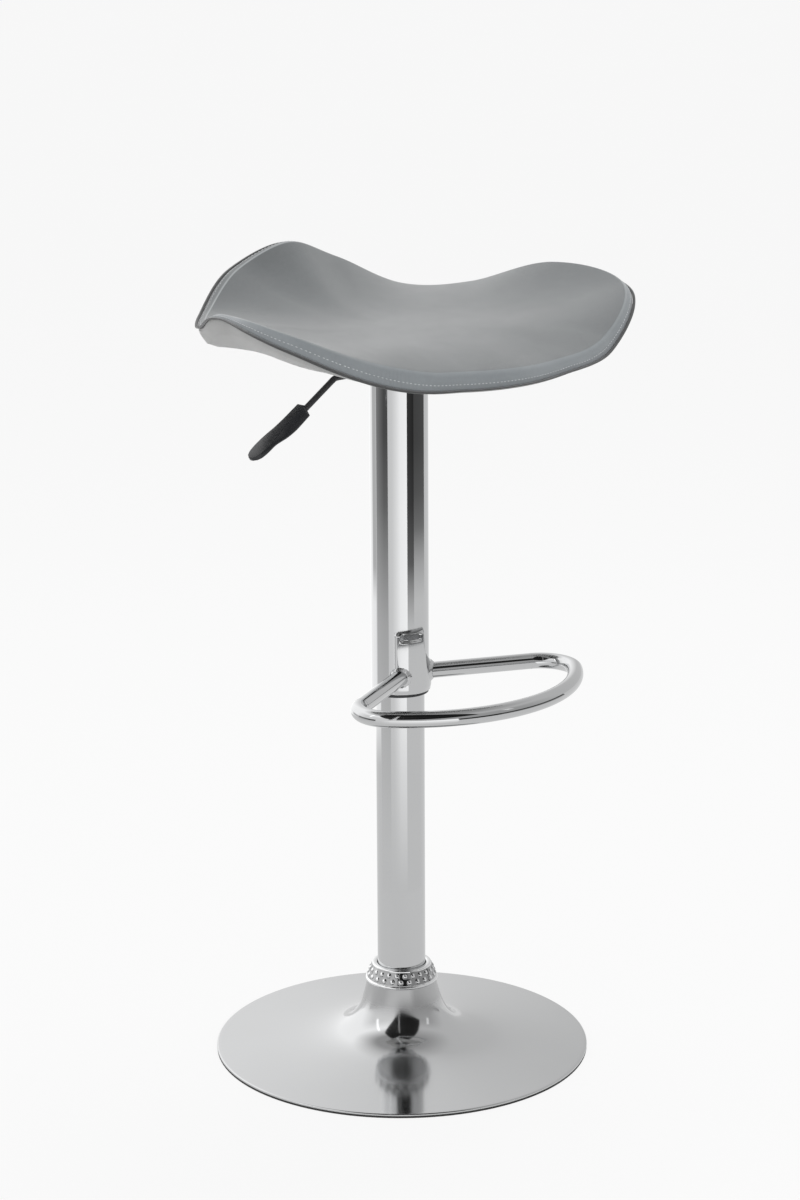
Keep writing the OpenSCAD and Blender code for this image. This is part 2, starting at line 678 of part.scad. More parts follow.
module seat_plate() {
    flat_w = plate_w - 2 * plate_corner;
    color("dimgray") translate([0, 0, box_top]) difference() {
        linear_extrude(height = plate_t) union() {
            square([plate_w, flat_w], center = true);
            square([flat_w, plate_w], center = true);
            for (x = [-1, 1], y = [-1, 1]) translate([x * flat_w / 2, y * flat_w / 2])
                circle(r = plate_corner, $fn = small_n);
        }
        at_bolts() translate([0, 0, -cut])
            cylinder(r = bolt_r + loose_gap, h = plate_t + 2 * cut, $fn = small_n);
    }
}

module lever_grommet() {
    wall_x = -box_length / 2;
    color("black") translate([wall_x, 0, lever_z]) rotate([0, 90, 0]) difference() {
        union() {
            translate([0, 0, -grommet_flange_t])
                cylinder(r = grommet_flange_r, h = grommet_flange_t, $fn = small_n);
            cylinder(r = grommet_r, h = plate_t, $fn = small_n);
        }
        translate([0, 0, -grommet_flange_t - cut])
            cylinder(r = grommet_bore_r, h = plate_t + grommet_flange_t + 2 * cut, $fn = small_n);
    }
}

// Puts what is drawn along +Z from its origin onto the lever's outer line, at its bend's end
bend_tan = lever_bend_r * tan(lever_droop / 2);
module on_lever() {
    translate([-lever_bend - bend_tan * cos(lever_droop), 0, lever_z - bend_tan * sin(lever_droop)])
        rotate([0, -90 - lever_droop, 0]) children();
}

module lever_rod() color("dimgray") {
    translate([lever_inner, 0, lever_z]) rotate([0, -90, 0])
        cylinder(r = lever_r, h = lever_inner + lever_bend - bend_tan, $fn = small_n);
    translate([bend_tan - lever_bend, 0, lever_z - lever_bend_r]) rotate([90, 0, 0]) rotate([0, 0, 90])
        rotate_extrude(angle = lever_droop, $fn = round_n) translate([lever_bend_r, 0])
            circle(r = lever_r, $fn = small_n);
    on_lever() cylinder(r = lever_r, h = lever_out + socket_l - bend_tan, $fn = small_n);
    on_lever() translate([0, 0, -mark_l / 2]) cylinder(r = lever_r + mark_h, h = mark_l, $fn = small_n);
    translate([bend_tan - lever_bend + mark_l / 2, 0, lever_z]) rotate([0, -90, 0])
        cylinder(r = lever_r + mark_h, h = mark_l, $fn = small_n);
}

// A flat slice of the handle with round corners, whose top lies level with the socket's
module handle_slice(w, h, thick) {
    corner_r = min(w, h) * 0.28;
    translate([(socket_h - h) / 2, 0, 0])
        for (x = [-1, 1], y = [-1, 1]) translate([x * (h / 2 - corner_r), y * (w / 2 - corner_r), 0])
            cylinder(r = corner_r, h = thick, $fn = 16);
}

module lever_handle() {
    slice_t = blade_t / 8;
    start = lever_out - bend_tan;
    // Each slice: place along the handle, width and height
    slices = [
        [0, socket_w, socket_h],
        [socket_l, socket_w, socket_h],
        [handle_l * 0.44, blade_w * 0.68, socket_h * 0.83],
        [handle_l * 0.55, blade_w * 0.84, blade_t * 1.6],
        [handle_l * 0.65, blade_w * 0.97, blade_t * 1.1],
        [handle_l * 0.8, blade_w, blade_t],
        [handle_l * 0.93, blade_w * 0.86, blade_t * 0.95],
        [handle_l - slice_t, blade_w * 0.36, blade_t * 0.7]];
    color("black") on_lever() translate([0, 0, start]) difference() {
        for (i = [0:len(slices) - 2]) hull() for (slice = [slices[i], slices[i + 1]])
            translate([0, 0, slice[0]]) handle_slice(slice[1], slice[2], slice_t);
        translate([0, 0, -cut])
            cylinder(r = lever_r + seat_gap / 2, h = socket_l + cut + seat_gap, $fn = small_n);
    }
}

module seat_bolts() {
    shaft_l = plate_t + cover_t + shell_t * 0.8;
    color("silver") at_bolts() {
        translate([0, 0, box_top]) cylinder(r = bolt_r, h = shaft_l, $fn = small_n);
        translate([0, 0, box_top - bolt_head_h]) difference() {
            cylinder(r = bolt_head_r, h = bolt_head_h, $fn = small_n);
            translate([0, 0, -cut]) cylinder(r = bolt_r, h = bolt_head_h / 2 + cut, $fn = 6);
        }
    }
}

shell_foot = seat_z + cover_t + soft_gap / 3;
module tee_nuts() color("silver") at_bolts() translate([0, 0, shell_foot + shell_t]) mirror([0, 0, 1]) {
    ring_body(nut_flange_r, bolt_r + seat_gap / 2, nut_flange_t, small_n);
    translate([0, 0, nut_flange_t])
        ring_body(nut_barrel_r, bolt_r + seat_gap / 2, shell_t - nut_flange_t - seat_gap, small_n);
}

// Seat: the cover, the shell and the cushion lie on each other, and all end inside the sewn flange
angles = [for (j = [0:seat_n - 1]) 360 * j / seat_n];
function inner_reach(a) = reach(a) - seam_w - soft_gap;
function shell_low(s, a) = under_z(s, a) + cover_t + soft_gap / 3;
// Ring at share s of the way out, lifted by up over the cover's underside
function under_ring(s, up) = [for (a = angles) spot(inner_reach(a) * s, a, under_z(s, a) + up)];
shell_count = len(shell_ring_shares);
shell_edge = shell_ring_shares[shell_count - 1];
shell_in = [for (i = [shell_count - 1:-1:0]) shell_ring_shares[i]];

module seat_shell() {
    low = soft_gap / 3 + cover_t;
    color("burlywood") difference() {
        lofted([0, 0, shell_foot + shell_t], concat(
            [for (s = shell_ring_shares) under_ring(s, low + shell_thickness(s))],
            [for (s = shell_in) under_ring(s, low)]),
            [0, 0, shell_foot], shell_count);
        at_bolts() {
            translate([0, 0, seat_z]) cylinder(r = nut_barrel_r + seat_gap, h = 2 * shell_t, $fn = small_n);
            translate([0, 0, shell_foot + shell_t - nut_flange_t - seat_gap])
                cylinder(r = nut_flange_r + seat_gap, h = shell_t, $fn = small_n);
        }
    }
}

module seat_cushion() {
    over = soft_gap / 3 + cover_t + soft_gap;
    top = [for (s = top_ring_shares) [for (a = angles) spot((reach(a) - edge_in) * s, a, top_z(s, a))]];
    side = [for (t = edge_turns) [for (a = angles) let (edge_r = reach(a) - edge_in)
        spot(edge_r + (inner_reach(a) - edge_r) * sin(t), a,
            seam_z(a) + soft_gap + (edge_h - soft_gap) * cos(t))]];
    color("slategray") lofted([0, 0, crown_z], concat(top, side,
        // The underside laps over the shell's edge and then follows the shell's top
        [under_ring(lap_share, cover_t + soft_gap),
            under_ring(lap_share, over + shell_thickness(shell_edge))],
        [for (s = shell_in) under_ring(s, over + shell_thickness(s))]),
        [0, 0, shell_foot + shell_t + soft_gap], len(top) + len(side) - 1);
}

module seat_underside() {
    ring_shares = concat(shell_ring_shares, [lap_share, 1]);
    count = len(ring_shares);
    color("lightgray") difference() {
        lofted([0, 0, seat_z + cover_t], concat(
            [for (s = ring_shares) under_ring(s, cover_t)],
            [for (i = [count - 1:-1:0]) under_ring(ring_shares[i], 0)]),
            [0, 0, seat_z], count);
        at_bolts() translate([0, 0, seat_z - cut])
            cylinder(r = bolt_r + seat_gap, h = 2 * cut + cover_t, $fn = small_n);
    }
}

module seat_seam() {
    corner_shares = [[0, -0.5], [1, -0.35], [1, 0.35], [0, 0.5]];
    points = [for (a = angles, c = corner_shares)
        spot(reach(a) - seam_w * (1 - c[0]), a, seam_z(a) + seam_t * c[1])];
    color("slategray") polyhedron(points, [for (j = [0:seat_n - 1], k = [0:3], half = [0, 1])
        let (a = j * 4, b = (j + 1) % seat_n * 4, m = (k + 1) % 4)
            half == 0 ? [a + k, a + m, b + m] : [a + k, b + m, b + k]], convexity = 4);
}

base_cover();
base_weight();
base_hub();
floor_ring();
column_collar();
column_tube();
guide_bush();
lower_race();
ball_cage();
bearing_balls();
upper_race();
piston_rod();
piston();
bump_stop();
rod_washer();
rod_clip();
gas_cylinder();
rod_guide();
release_pin();
sleeve_tube();
sleeve_bush();
sleeve_top_ring();
footrest_bracket();
footrest_ring();
footrest_welds();
taper_hub();
lever_box();
seat_plate();
lever_grommet();
lever_rod();
lever_handle();
seat_bolts();
tee_nuts();
seat_shell();
seat_cushion();
seat_underside();
seat_seam();
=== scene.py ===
import json
import math

import bmesh
import bpy
from mathutils import Matrix, Vector


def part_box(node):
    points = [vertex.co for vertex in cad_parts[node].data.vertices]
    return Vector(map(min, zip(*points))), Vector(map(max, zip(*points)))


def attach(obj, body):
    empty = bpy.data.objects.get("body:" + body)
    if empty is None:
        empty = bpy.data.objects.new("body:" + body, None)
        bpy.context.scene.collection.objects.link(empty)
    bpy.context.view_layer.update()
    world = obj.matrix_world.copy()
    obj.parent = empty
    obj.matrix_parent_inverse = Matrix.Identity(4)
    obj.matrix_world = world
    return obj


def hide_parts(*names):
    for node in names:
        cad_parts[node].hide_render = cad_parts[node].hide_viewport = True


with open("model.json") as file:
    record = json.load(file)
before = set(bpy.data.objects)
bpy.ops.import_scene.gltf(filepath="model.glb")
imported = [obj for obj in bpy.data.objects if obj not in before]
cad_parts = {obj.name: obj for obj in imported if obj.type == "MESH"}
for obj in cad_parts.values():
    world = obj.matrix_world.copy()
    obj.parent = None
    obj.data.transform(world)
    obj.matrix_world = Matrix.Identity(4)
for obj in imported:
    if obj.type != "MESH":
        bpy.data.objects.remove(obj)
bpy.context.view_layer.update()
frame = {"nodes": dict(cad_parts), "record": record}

NODES = frame["nodes"]
MM = 0.001

# Seat form, in the same sizes as the part's source
SEAT_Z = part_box("seat_plate")[1].z
REACH = 256 * MM
RISE = 96 * MM
FRONT_DROP = 9 * MM
SEAT_T = 30 * MM
COVER_T = 1.5 * MM
SEAM_W = 3 * MM
SOFT_GAP = 0.3 * MM
# Shares of the reach and of the rise in even steps from the front to the rear, the same on both sides
REACH_SHARES = [0.69, 0.71, 0.835, 1, 0.9, 0.78, 0.765, 0.74, 0.68]
RISE_SHARES = [0, 0.02, 0.125, 0.59, 0.72, 0.48, 0.44, 0.77, 1]
UNDER_FLAT, UNDER_POWER = 0.42, 1.6
TOP_FLAT, TOP_POWER = 0.12, 2.1
WAVE_POWER = 2.6
BULGE_FROM, BULGE_SPAN, BULGE_FADE = 0.6, 0.32, 0.035
SWELL_POWER, FADE_POWER = 1.5, 0.6
EDGE_Z = SEAT_Z - FRONT_DROP
CROWN_Z = SEAT_Z + SEAT_T

# The sewn edge round the seat in millimetres, in steps of 15 degrees from its front towards +X: how
# far the seam lies above and outside the solid's, how high and how far inside it the ridge stands,
# how round the ridge is, how deep the flange is and how far the underside bulges
SEAM_LIFTS = [0, 0, 0, 0, 2, 2, 2, 2, 1, 2, 6, 8, 8, 8.5, 8.5, 4.5, 1.5, 4.5, 0, -3, -5, 0.5, 0, 0]
SEAM_OUTS = [0, 0, 0, 0, 0, 0, 0, 0, 0, 0, 0, 0, 0, 0, 1, 4, 7, 5, 0, 0, 0, 0, 0, 0]
RIDGE_HEIGHTS = [15, 13.5, 12.5, 13.5, 9, 9, 9, 9, 10, 9, 5, 3,
                 3, 2.5, 2.5, 5, 6, 5.5, 4.5, 12, 16.5, 18.5, 16.5, 16]
RIDGE_INSETS = [8, 8, 8, 8, 10, 10, 9, 9, 9, 9, 11, 12, 12, 12, 12, 11, 10, 10, 9, 8, 8, 8, 8, 8]
RIDGE_ROUNDS = [5, 4.5, 4, 3, 2, 2, 2, 2, 2, 2, 2, 2, 2, 2, 2, 2, 2, 2, 2, 2, 2.5, 4, 5, 5]
FLANGE_DEPTHS = [1.3, 1.3, 1.3, 1.3, 1.3, 1.3, 1.3, 1.3, 1.3, 1.3, 1.3, 1.3,
                 1.3, 1.3, 1.3, 1.3, 1.3, 1.3, 1.4, 2.2, 3, 2.8, 1.8, 1.3]
UNDER_DROPS = [0, 0, 0, 0, 2, 2, 7, 12, 13, 9, 7, 8, 8, 8, 6, 8, 11, 11, 7, 3, 3, 0, 0, 0]


def smooth(p0, p1, p2, p3, t):
    """Smooth curve from p1 to p2, with p0 before and p3 after them."""
    return 0.5 * (2 * p1 + (p2 - p0) * t + (2 * p0 - 5 * p1 + 4 * p2 - p3) * t * t
                  + (3 * p1 - p0 - 3 * p2 + p3) * t * t * t)


def round_seat(table, a):
    """Value at angle a in degrees of a table from front to rear, the same on both sides."""
    last = len(table) - 1
    a = a % 360
    turn = abs(a - 360 if a > 180 else a) * last / 180
    i = min(int(turn), last - 1)
    before = table[1 if i == 0 else i - 1]
    after = table[last - 1 if i + 2 > last else i + 2]
    return smooth(before, table[i], table[i + 1], after, turn - i)


def around(table, a):
    """Value of a table in millimetres whose even steps go once round the seat."""
    turn = (a % 360) * len(table) / 360
    i = int(turn)
    near = [table[(i + k) % len(table)] for k in (-1, 0, 1, 2)]
    return smooth(*near, turn - i) * MM


def soften(table):
    """The same table with each value drawn towards its neighbours."""
    last = len(table) - 1
    return [(table[1 if i == 0 else i - 1] + 2 * table[i] + table[last - 1 if i == last else i + 1]) / 4
            for i in range(last + 1)]


SOFT_RISE = soften(soften(RISE_SHARES))


def climb(s, flat, power):
    """Share of the climb to the rim at share s, after a flat middle."""
    return max(0.0, (s - flat) / (1 - flat)) ** power


def rim_r(a):
    """Radius of the seat's sewn edge at angle a."""
    return REACH * round_seat(REACH_SHARES, a) + around(SEAM_OUTS, a)


def rim_z(a):
    """Height of the seat's sewn edge at angle a."""
    return EDGE_Z + RISE * round_seat(RISE_SHARES, a) + around(SEAM_LIFTS, a)


def soft_rim_z(a):
    """Height of the sewn edge without its sharper rises and falls."""
    return EDGE_Z + RISE * round_seat(SOFT_RISE, a) + around(SEAM_LIFTS, a)


def wave(s, a):
    """The rim's sharper rises and falls, which fade towards the seat's middle."""
    return (rim_z(a) - soft_rim_z(a)) * climb(s, UNDER_FLAT, WAVE_POWER)


def bulge(s):
    """Share of the underside's bulge at share s of the way out: it swells, and ends at the seam."""
    swell = min(1.0, max(0.0, (s - BULGE_FROM) / BULGE_SPAN)) ** SWELL_POWER
    return swell * min(1.0, (1 - s) / BULGE_FADE) ** FADE_POWER


def under_z(s, a):
    """Height of the seat's lower skin at share s of the way out and angle a."""
    fall = soft_rim_z(a) - COVER_T - SEAT_Z
    return SEAT_Z + fall * climb(s, UNDER_FLAT, UNDER_POWER) + wave(s, a) - around(UNDER_DROPS, a) * bulge(s)


def top_z(s, a):
    """Height of the seat's top at share s of the way out and angle a."""
    rise = soft_rim_z(a) + around(RIDGE_HEIGHTS, a) - CROWN_Z
    return CROWN_Z + rise * climb(s, TOP_FLAT, TOP_POWER) + wave(s, a)


def spot(r, a, z):
    """Place at radius r, height z and angle a in degrees from the front towards +X."""
    return Vector((r * math.sin(math.radians(a)), -r * math.cos(math.radians(a)), z))


# Places as the camera sees them

DISTANCE, HEIGHT = 2.9926, 1.2482
PITCH, ROLL, YAW = 0.2504, -0.0052, 0.0001
FOCAL_PIXELS, PHOTO_PIXELS, SENSOR = 3032.8, 1200, 36
TURN = math.radians(43.5)
toward = Vector((math.sin(TURN), math.cos(TURN), 0))
side = Vector((math.cos(TURN), -math.sin(TURN), 0))


def from_view(right, away, up):
    """Place given as to the right, away from the camera and up, from the column's foot."""
    return side * right + toward * away + Vector((0, 0, up))


# Nodes and materials

def material(name):
    """New material with its node tree and its shader."""
    mat = bpy.data.materials.new(name)
    mat.use_nodes = True
    tree = mat.node_tree
    shader = next(n for n in tree.nodes if n.type == "BSDF_PRINCIPLED")
    return mat, tree, shader


def add(tree, kind, **values):
    """New node of this kind, with these settings."""
    node = tree.nodes.new(kind)
    for key, value in values.items():
        setattr(node, key, value)
    return node


def coords(tree):
    """Place on the object."""
    return add(tree, "ShaderNodeTexCoord").outputs["Object"]


def noise(tree, scale, detail=3.0, roughness=0.5, vector=None):
    """Cloudy pattern from 0 to 1."""
    node = add(tree, "ShaderNodeTexNoise")
    node.inputs["Scale"].default_value = scale
    node.inputs["Detail"].default_value = detail
    node.inputs["Roughness"].default_value = roughness
    tree.links.new(vector or coords(tree), node.inputs["Vector"])
    return node.outputs["Fac"]


def grey(value):
    """Colour whose three parts are all this value."""
    return (value, value, value)


def ramp(tree, factor, stops):
    """Colour that runs through these stops of (place, colour)."""
    node = add(tree, "ShaderNodeValToRGB")
    while len(node.color_ramp.elements) < len(stops):
        node.color_ramp.elements.new(0.5)
    for element, (place, colour) in zip(node.color_ramp.elements, stops):
        element.position = place
        element.color = (*colour, 1)
    tree.links.new(factor, node.inputs["Fac"])
    return node.outputs["Color"]


def span(tree, factor, low, high, from_low=0.0, from_high=1.0):
    """Value that runs from low to high while the factor runs from from_low to from_high."""
    node = add(tree, "ShaderNodeMapRange")
    node.inputs["From Min"].default_value = from_low
    node.inputs["From Max"].default_value = from_high
    node.inputs["To Min"].default_value = low
    node.inputs["To Max"].default_value = high
    tree.links.new(factor, node.inputs["Value"])
    return node.outputs["Result"]


def maths(tree, operation, *inputs):
    """Result of a maths node on numbers or sockets."""
    node = add(tree, "ShaderNodeMath", operation=operation)
    for socket, value in zip(node.inputs, inputs):
        if isinstance(value, (int, float)):
            socket.default_value = value
        else:
            tree.links.new(value, socket)
    return node.outputs[0]


def dot(tree, vector, axis):
    """How far a vector reaches along an axis."""
    node = add(tree, "ShaderNodeVectorMath", operation="DOT_PRODUCT")
    node.inputs[1].default_value = axis
    tree.links.new(vector, node.inputs[0])
    return node.outputs["Value"]


def azimuth(tree, way):
    """Angle round the column in degrees, from the camera's side towards its right."""
    away = maths(tree, "MULTIPLY", dot(tree, way, toward), -1)
    return maths(tree, "MULTIPLY", maths(tree, "ARCTAN2", dot(tree, way, side), away), 180 / math.pi)


def bump(tree, shader, height, distance, strength=1.0):
    """Fine relief in the shading."""
    node = add(tree, "ShaderNodeBump")
    node.inputs["Distance"].default_value = distance
    node.inputs["Strength"].default_value = strength
    tree.links.new(height, node.inputs["Height"])
    tree.links.new(node.outputs["Normal"], shader.inputs["Normal"])


CLOUDS_FROM, CLOUDS_TO = 0.3, 0.7
CAST_FINENESS = 30
PLASTIC_CLOUDS = 35


def metal(name, colour, rough_low, rough_high, scale, dust=0.03, grain=0.0):
    """Metal whose shade and polish drift a little, with a cast grain where one is given."""
    mat, tree, shader = material(name)
    shader.inputs["Metallic"].default_value = 1.0
    cloud = noise(tree, scale, 4)
    darker = tuple(c * (1 - dust) for c in colour)
    tree.links.new(ramp(tree, cloud, [(0.35, darker), (0.65, colour)]), shader.inputs["Base Color"])
    tree.links.new(span(tree, cloud, rough_low, rough_high, CLOUDS_FROM, CLOUDS_TO),
                   shader.inputs["Roughness"])
    if grain:
        bump(tree, shader, noise(tree, scale * CAST_FINENESS, 2), grain)
    return mat


def plastic(name, colour, rough_low, rough_high, grain_scale, grain):
    """Moulded or painted surface with a fine grain."""
    mat, tree, shader = material(name)
    cloud = noise(tree, PLASTIC_CLOUDS, 3)
    lighter = tuple(min(1, c * 1.25 + 0.004) for c in colour)
    tree.links.new(ramp(tree, cloud, [(CLOUDS_FROM, colour), (CLOUDS_TO, lighter)]),
                   shader.inputs["Base Color"])
    tree.links.new(span(tree, cloud, rough_low, rough_high, CLOUDS_FROM, CLOUDS_TO),
                   shader.inputs["Roughness"])
    bump(tree, shader, noise(tree, grain_scale, 2), grain)
    return mat


GRAIN_CELLS, GRAIN_FINE, GRAIN_DEPTH, GRAIN_STRENGTH = 950, 1400, 0.00012, 0.7
SHEEN, SHEEN_ROUGH = 0.5, 0.42
BLOTCHES, MOTTLE, POLISH_CLOUDS = 9, 260, 60


def leatherette(name, colour, rough_low, rough_high, gloss=0.5):
    """Coated fabric: pebble grain, fine pores and faint unevenness of its colour."""
    mat, tree, shader = material(name)
    at = coords(tree)
    cloud = noise(tree, BLOTCHES, 4, 0.55, at)
    darker = tuple(c * 0.92 for c in colour)
    lighter = tuple(c * 1.08 for c in colour)
    blotch = add(tree, "ShaderNodeMix", data_type="RGBA", blend_type="MULTIPLY")
    blotch.inputs["Factor"].default_value = 1
    tree.links.new(ramp(tree, cloud, [(CLOUDS_FROM, darker), (CLOUDS_TO, lighter)]), blotch.inputs[6])
    tree.links.new(ramp(tree, noise(tree, MOTTLE, 2, 0.6, at), [(0.35, grey(0.95)), (0.65, grey(1))]),
                   blotch.inputs[7])
    tree.links.new(blotch.outputs[2], shader.inputs["Base Color"])
    cells = add(tree, "ShaderNodeTexVoronoi", feature="DISTANCE_TO_EDGE")
    cells.inputs["Scale"].default_value = GRAIN_CELLS
    tree.links.new(at, cells.inputs["Vector"])
    pebble = span(tree, cells.outputs["Distance"], 0, 1, 0.0, 0.35)
    fine = noise(tree, GRAIN_FINE, 2, 0.5, at)
    bump(tree, shader, maths(tree, "MULTIPLY_ADD", fine, 0.5, pebble), GRAIN_DEPTH, GRAIN_STRENGTH)
    polish = noise(tree, POLISH_CLOUDS, 3, 0.5, at)
    tree.links.new(span(tree, polish, rough_low, rough_high, CLOUDS_FROM, CLOUDS_TO),
                   shader.inputs["Roughness"])
    shader.inputs["Specular IOR Level"].default_value = gloss
    shader.inputs["Sheen Weight"].default_value = SHEEN
    shader.inputs["Sheen Roughness"].default_value = SHEEN_ROUGH
    return mat


def blend(tree, factor, first, second):
    """Number between two values or sockets, by a factor from 0 to 1."""
    node = add(tree, "ShaderNodeMix", data_type="FLOAT")
    tree.links.new(factor, node.inputs["Factor"])
    for key, value in (("A", first), ("B", second)):
        if isinstance(value, (int, float)):
            node.inputs[key].default_value = value
        else:
            tree.links.new(value, node.inputs[key])
    return node.outputs["Result"]


def lay_over(tree, shader, weight, colour):
    """Another base colour over the one that the shader has, by weight."""
    mix = add(tree, "ShaderNodeMix", data_type="RGBA")
    tree.links.new(weight, mix.inputs[0])
    tree.links.new(shader.inputs["Base Color"].links[0].from_socket, mix.inputs[6])
    mix.inputs[7].default_value = (*colour, 1)
    tree.links.new(mix.outputs[2], shader.inputs["Base Color"])


def coloured_behind(name, colour, fade_in, full):
    """Another colour beyond an angle in degrees from the seat's front, the same on both sides."""
    tree = MATERIALS[name].node_tree
    shader = next(n for n in tree.nodes if n.type == "BSDF_PRINCIPLED")
    at = coords(tree)
    turn = maths(tree, "ARCTAN2", dot(tree, at, (1, 0, 0)), dot(tree, at, (0, -1, 0)))
    lay_over(tree, shader, span(tree, maths(tree, "ABSOLUTE", turn), 0, 1, math.radians(fade_in),
                                math.radians(full)), colour)


def softer_polish_and_painted_shade(name, low, high, rough, colour):
    """A softer polish above a height, towards the top of the base's neck, with painted shade there: a darker
    chrome colour.
    """
    tree = MATERIALS[name].node_tree
    shader = next(n for n in tree.nodes if n.type == "BSDF_PRINCIPLED")
    weight = span(tree, dot(tree, coords(tree), (0, 0, 1)), 0, 1, low, high)
    rough_below = shader.inputs["Roughness"].links[0].from_socket
    tree.links.new(blend(tree, weight, rough_below, rough), shader.inputs["Roughness"])
    lay_over(tree, shader, weight, colour)


# Heights where the neck's softer polish and its painted shade come in, the softer polish's roughness, and the
# darker chrome colour that paints the shade
FADE_LOW, FADE_HIGH, FADED_ROUGH, NECK_PAINTED_SHADE_CHROME = 44 * MM, 56 * MM, 0.3, (0.5, 0.503, 0.507)
CHROME = (0.62, 0.625, 0.63)
COLLAR_CHROME = (0.85, 0.855, 0.86)
SEAT_GREY = (0.195, 0.207, 0.213)
# Painted light: the band round the seat's edge is coloured paler and bluer than the seat, as if more light
# fell on it
PAINTED_LIGHT_BAND_GREY = (0.3, 0.326, 0.344)
# Painted highlight along the seat's ridge: its faces are coloured paler than the band
PAINTED_HIGHLIGHT_RIDGE = (0.37, 0.39, 0.4)
MATERIALS = {
    "chrome_tube": metal("chrome_tube", CHROME, 0.03, 0.055, 14, 0.015),
    "chrome_sheet": metal("chrome_sheet", CHROME, 0.05, 0.09, 11, 0.02),
    "chrome_base": metal("chrome_base", CHROME, 0.09, 0.13, 9, 0.02),
    "chrome_collar": metal("chrome_collar", COLLAR_CHROME, 0.05, 0.08, 11, 0.02),
    "collar_ground": metal("collar_ground", (0.42, 0.423, 0.427), 0.06, 0.1, 11, 0.02),
    "cast_weight": metal("cast_weight", (0.18, 0.18, 0.19), 0.55, 0.75, 60, 0.3, 0.0004),
    "plain_steel": metal("plain_steel", (0.55, 0.55, 0.56), 0.25, 0.4, 80, 0.15),
    "ground_steel": metal("ground_steel", (0.66, 0.66, 0.68), 0.12, 0.2, 120, 0.08),
    "brass_cage": metal("brass_cage", (0.7, 0.55, 0.28), 0.25, 0.4, 90, 0.15),
    "black_painted_steel": plastic("black_painted_steel", (0.03, 0.03, 0.032), 0.32, 0.45, 900, 0.00006),
    "black_plastic": plastic("black_plastic", (0.018, 0.019, 0.022), 0.36, 0.46, 1600, 0.00005),
    "handle_plastic": plastic("handle_plastic", (0.012, 0.013, 0.016), 0.24, 0.3, 1500, 0.00003),
    "black_rubber": plastic("black_rubber", (0.022, 0.022, 0.022), 0.6, 0.75, 700, 0.0001),
    "moulded_wood": plastic("moulded_wood", (0.42, 0.28, 0.15), 0.5, 0.65, 300, 0.0002),
    "grey_leatherette": leatherette("grey_leatherette", SEAT_GREY, 0.31, 0.38, 0.62),
    "band_painted_light": leatherette("band_painted_light", PAINTED_LIGHT_BAND_GREY, 0.42, 0.52),
    "ridge_painted_highlight": leatherette("ridge_painted_highlight", PAINTED_LIGHT_BAND_GREY, 0.36, 0.44),
    # Dark grey of the sewn flange: partly the raw edges' own tone, partly painted shade
    "cut_edge_and_painted_shade": leatherette("cut_edge_and_painted_shade", (0.09, 0.092, 0.093), 0.6, 0.7),
    "light_grey_cover": leatherette("light_grey_cover", (0.38, 0.382, 0.377), 0.5, 0.62),
    "stitch_thread": plastic("stitch_thread", (0.62, 0.64, 0.65), 0.5, 0.6, 3000, 0.00005),
}
softer_polish_and_painted_shade("chrome_base", FADE_LOW, FADE_HIGH, FADED_ROUGH, NECK_PAINTED_SHADE_CHROME)
# The ridge's painted highlight comes in from 42 to 70 degrees from the seat's front and stays on behind
coloured_behind("ridge_painted_highlight", PAINTED_HIGHLIGHT_RIDGE, 42, 70)
# Behind 90 to 120 degrees from the seat's front, the band's painted light gives way to the seat's own grey
coloured_behind("band_painted_light", SEAT_GREY, 90, 120)
SLOT_OF = {s["node"]: s["material_slot"] for s in frame["record"]["subparts"]}
for name, node in NODES.items():
    node.data.materials.clear()
    node.data.materials.append(MATERIALS["chrome_base" if name == "base_cover" else SLOT_OF[name]])


# Meshes

def mesh_piece(name, points, faces, mats):
    """Smooth-shaded object with outward faces, from points and faces, with its materials."""
    mesh = bpy.data.meshes.new(name)
    mesh.from_pydata([tuple(p) for p in points], [], faces)
    mesh.validate()
    skin = bmesh.new()
    skin.from_mesh(mesh)
    bmesh.ops.recalc_face_normals(skin, faces=skin.faces[:])
    skin.to_mesh(mesh)
    skin.free()
    mesh.update()
    obj = bpy.data.objects.new(name, mesh)
    bpy.context.scene.collection.objects.link(obj)
    for mat in mats:
        mesh.materials.append(MATERIALS[mat])
    mesh.polygons.foreach_set("use_smooth", [True] * len(mesh.polygons))
    return obj


def lofted(rings, top=None, bottom=None):
    """Points and faces of a skin through rings of equal length; a point closes an end."""
    n = len(rings[0])
    points, faces = [], []
    if top is not None:
        points.append(top)
    start = len(points)
    for ring in rings:
        points.extend(ring)
    for i in range(len(rings) - 1):
        for j in range(n):
            k, m = start + i * n, (j + 1) % n
            faces.append((k + j, k + m, k + n + m, k + n + j))
    if top is not None:
        faces.extend((0, start + (j + 1) % n, start + j) for j in range(n))
    if bottom is not None:
        points.append(bottom)
        last, k = len(points) - 1, start + (len(rings) - 1) * n
        faces.extend((last, k + j, k + (j + 1) % n) for j in range(n))
    return points, faces


def finish_piece(piece, body, slot, *replaced):
    """Hides the nodes that a piece stands in for and hangs the piece on its body; the slot is not used."""
    if replaced:
        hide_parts(*replaced)
    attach(piece, body)


# Seat cushion

SEAT_STEPS = 1440
ANGLES = [360 * j / SEAT_STEPS for j in range(SEAT_STEPS)]
TOP_STEPS = 38
RIDGE_STEPS = 6
BAND_STEPS = 6
BAND_BULGE = 0.7 * MM
PUCKER = 0.22 * MM
PUCKERS = 360
RIDGE_PUCKER = 0.6
ROUNDED_SHARE = 0.45
FOAM_INSIDE = 10.6 * MM
FOAM_RINGS = ((0.94, 0), (0.88, 0), (0.88, 7.5 * MM), (0.8, 9 * MM), (0.6, 10.5 * MM),
              (0.4, FOAM_INSIDE), (0.2, FOAM_INSIDE))
# Angles from the seat's front between which the ridge's faces take the painted highlight
PAINTED_HIGHLIGHT_SPAN = (40, 320)


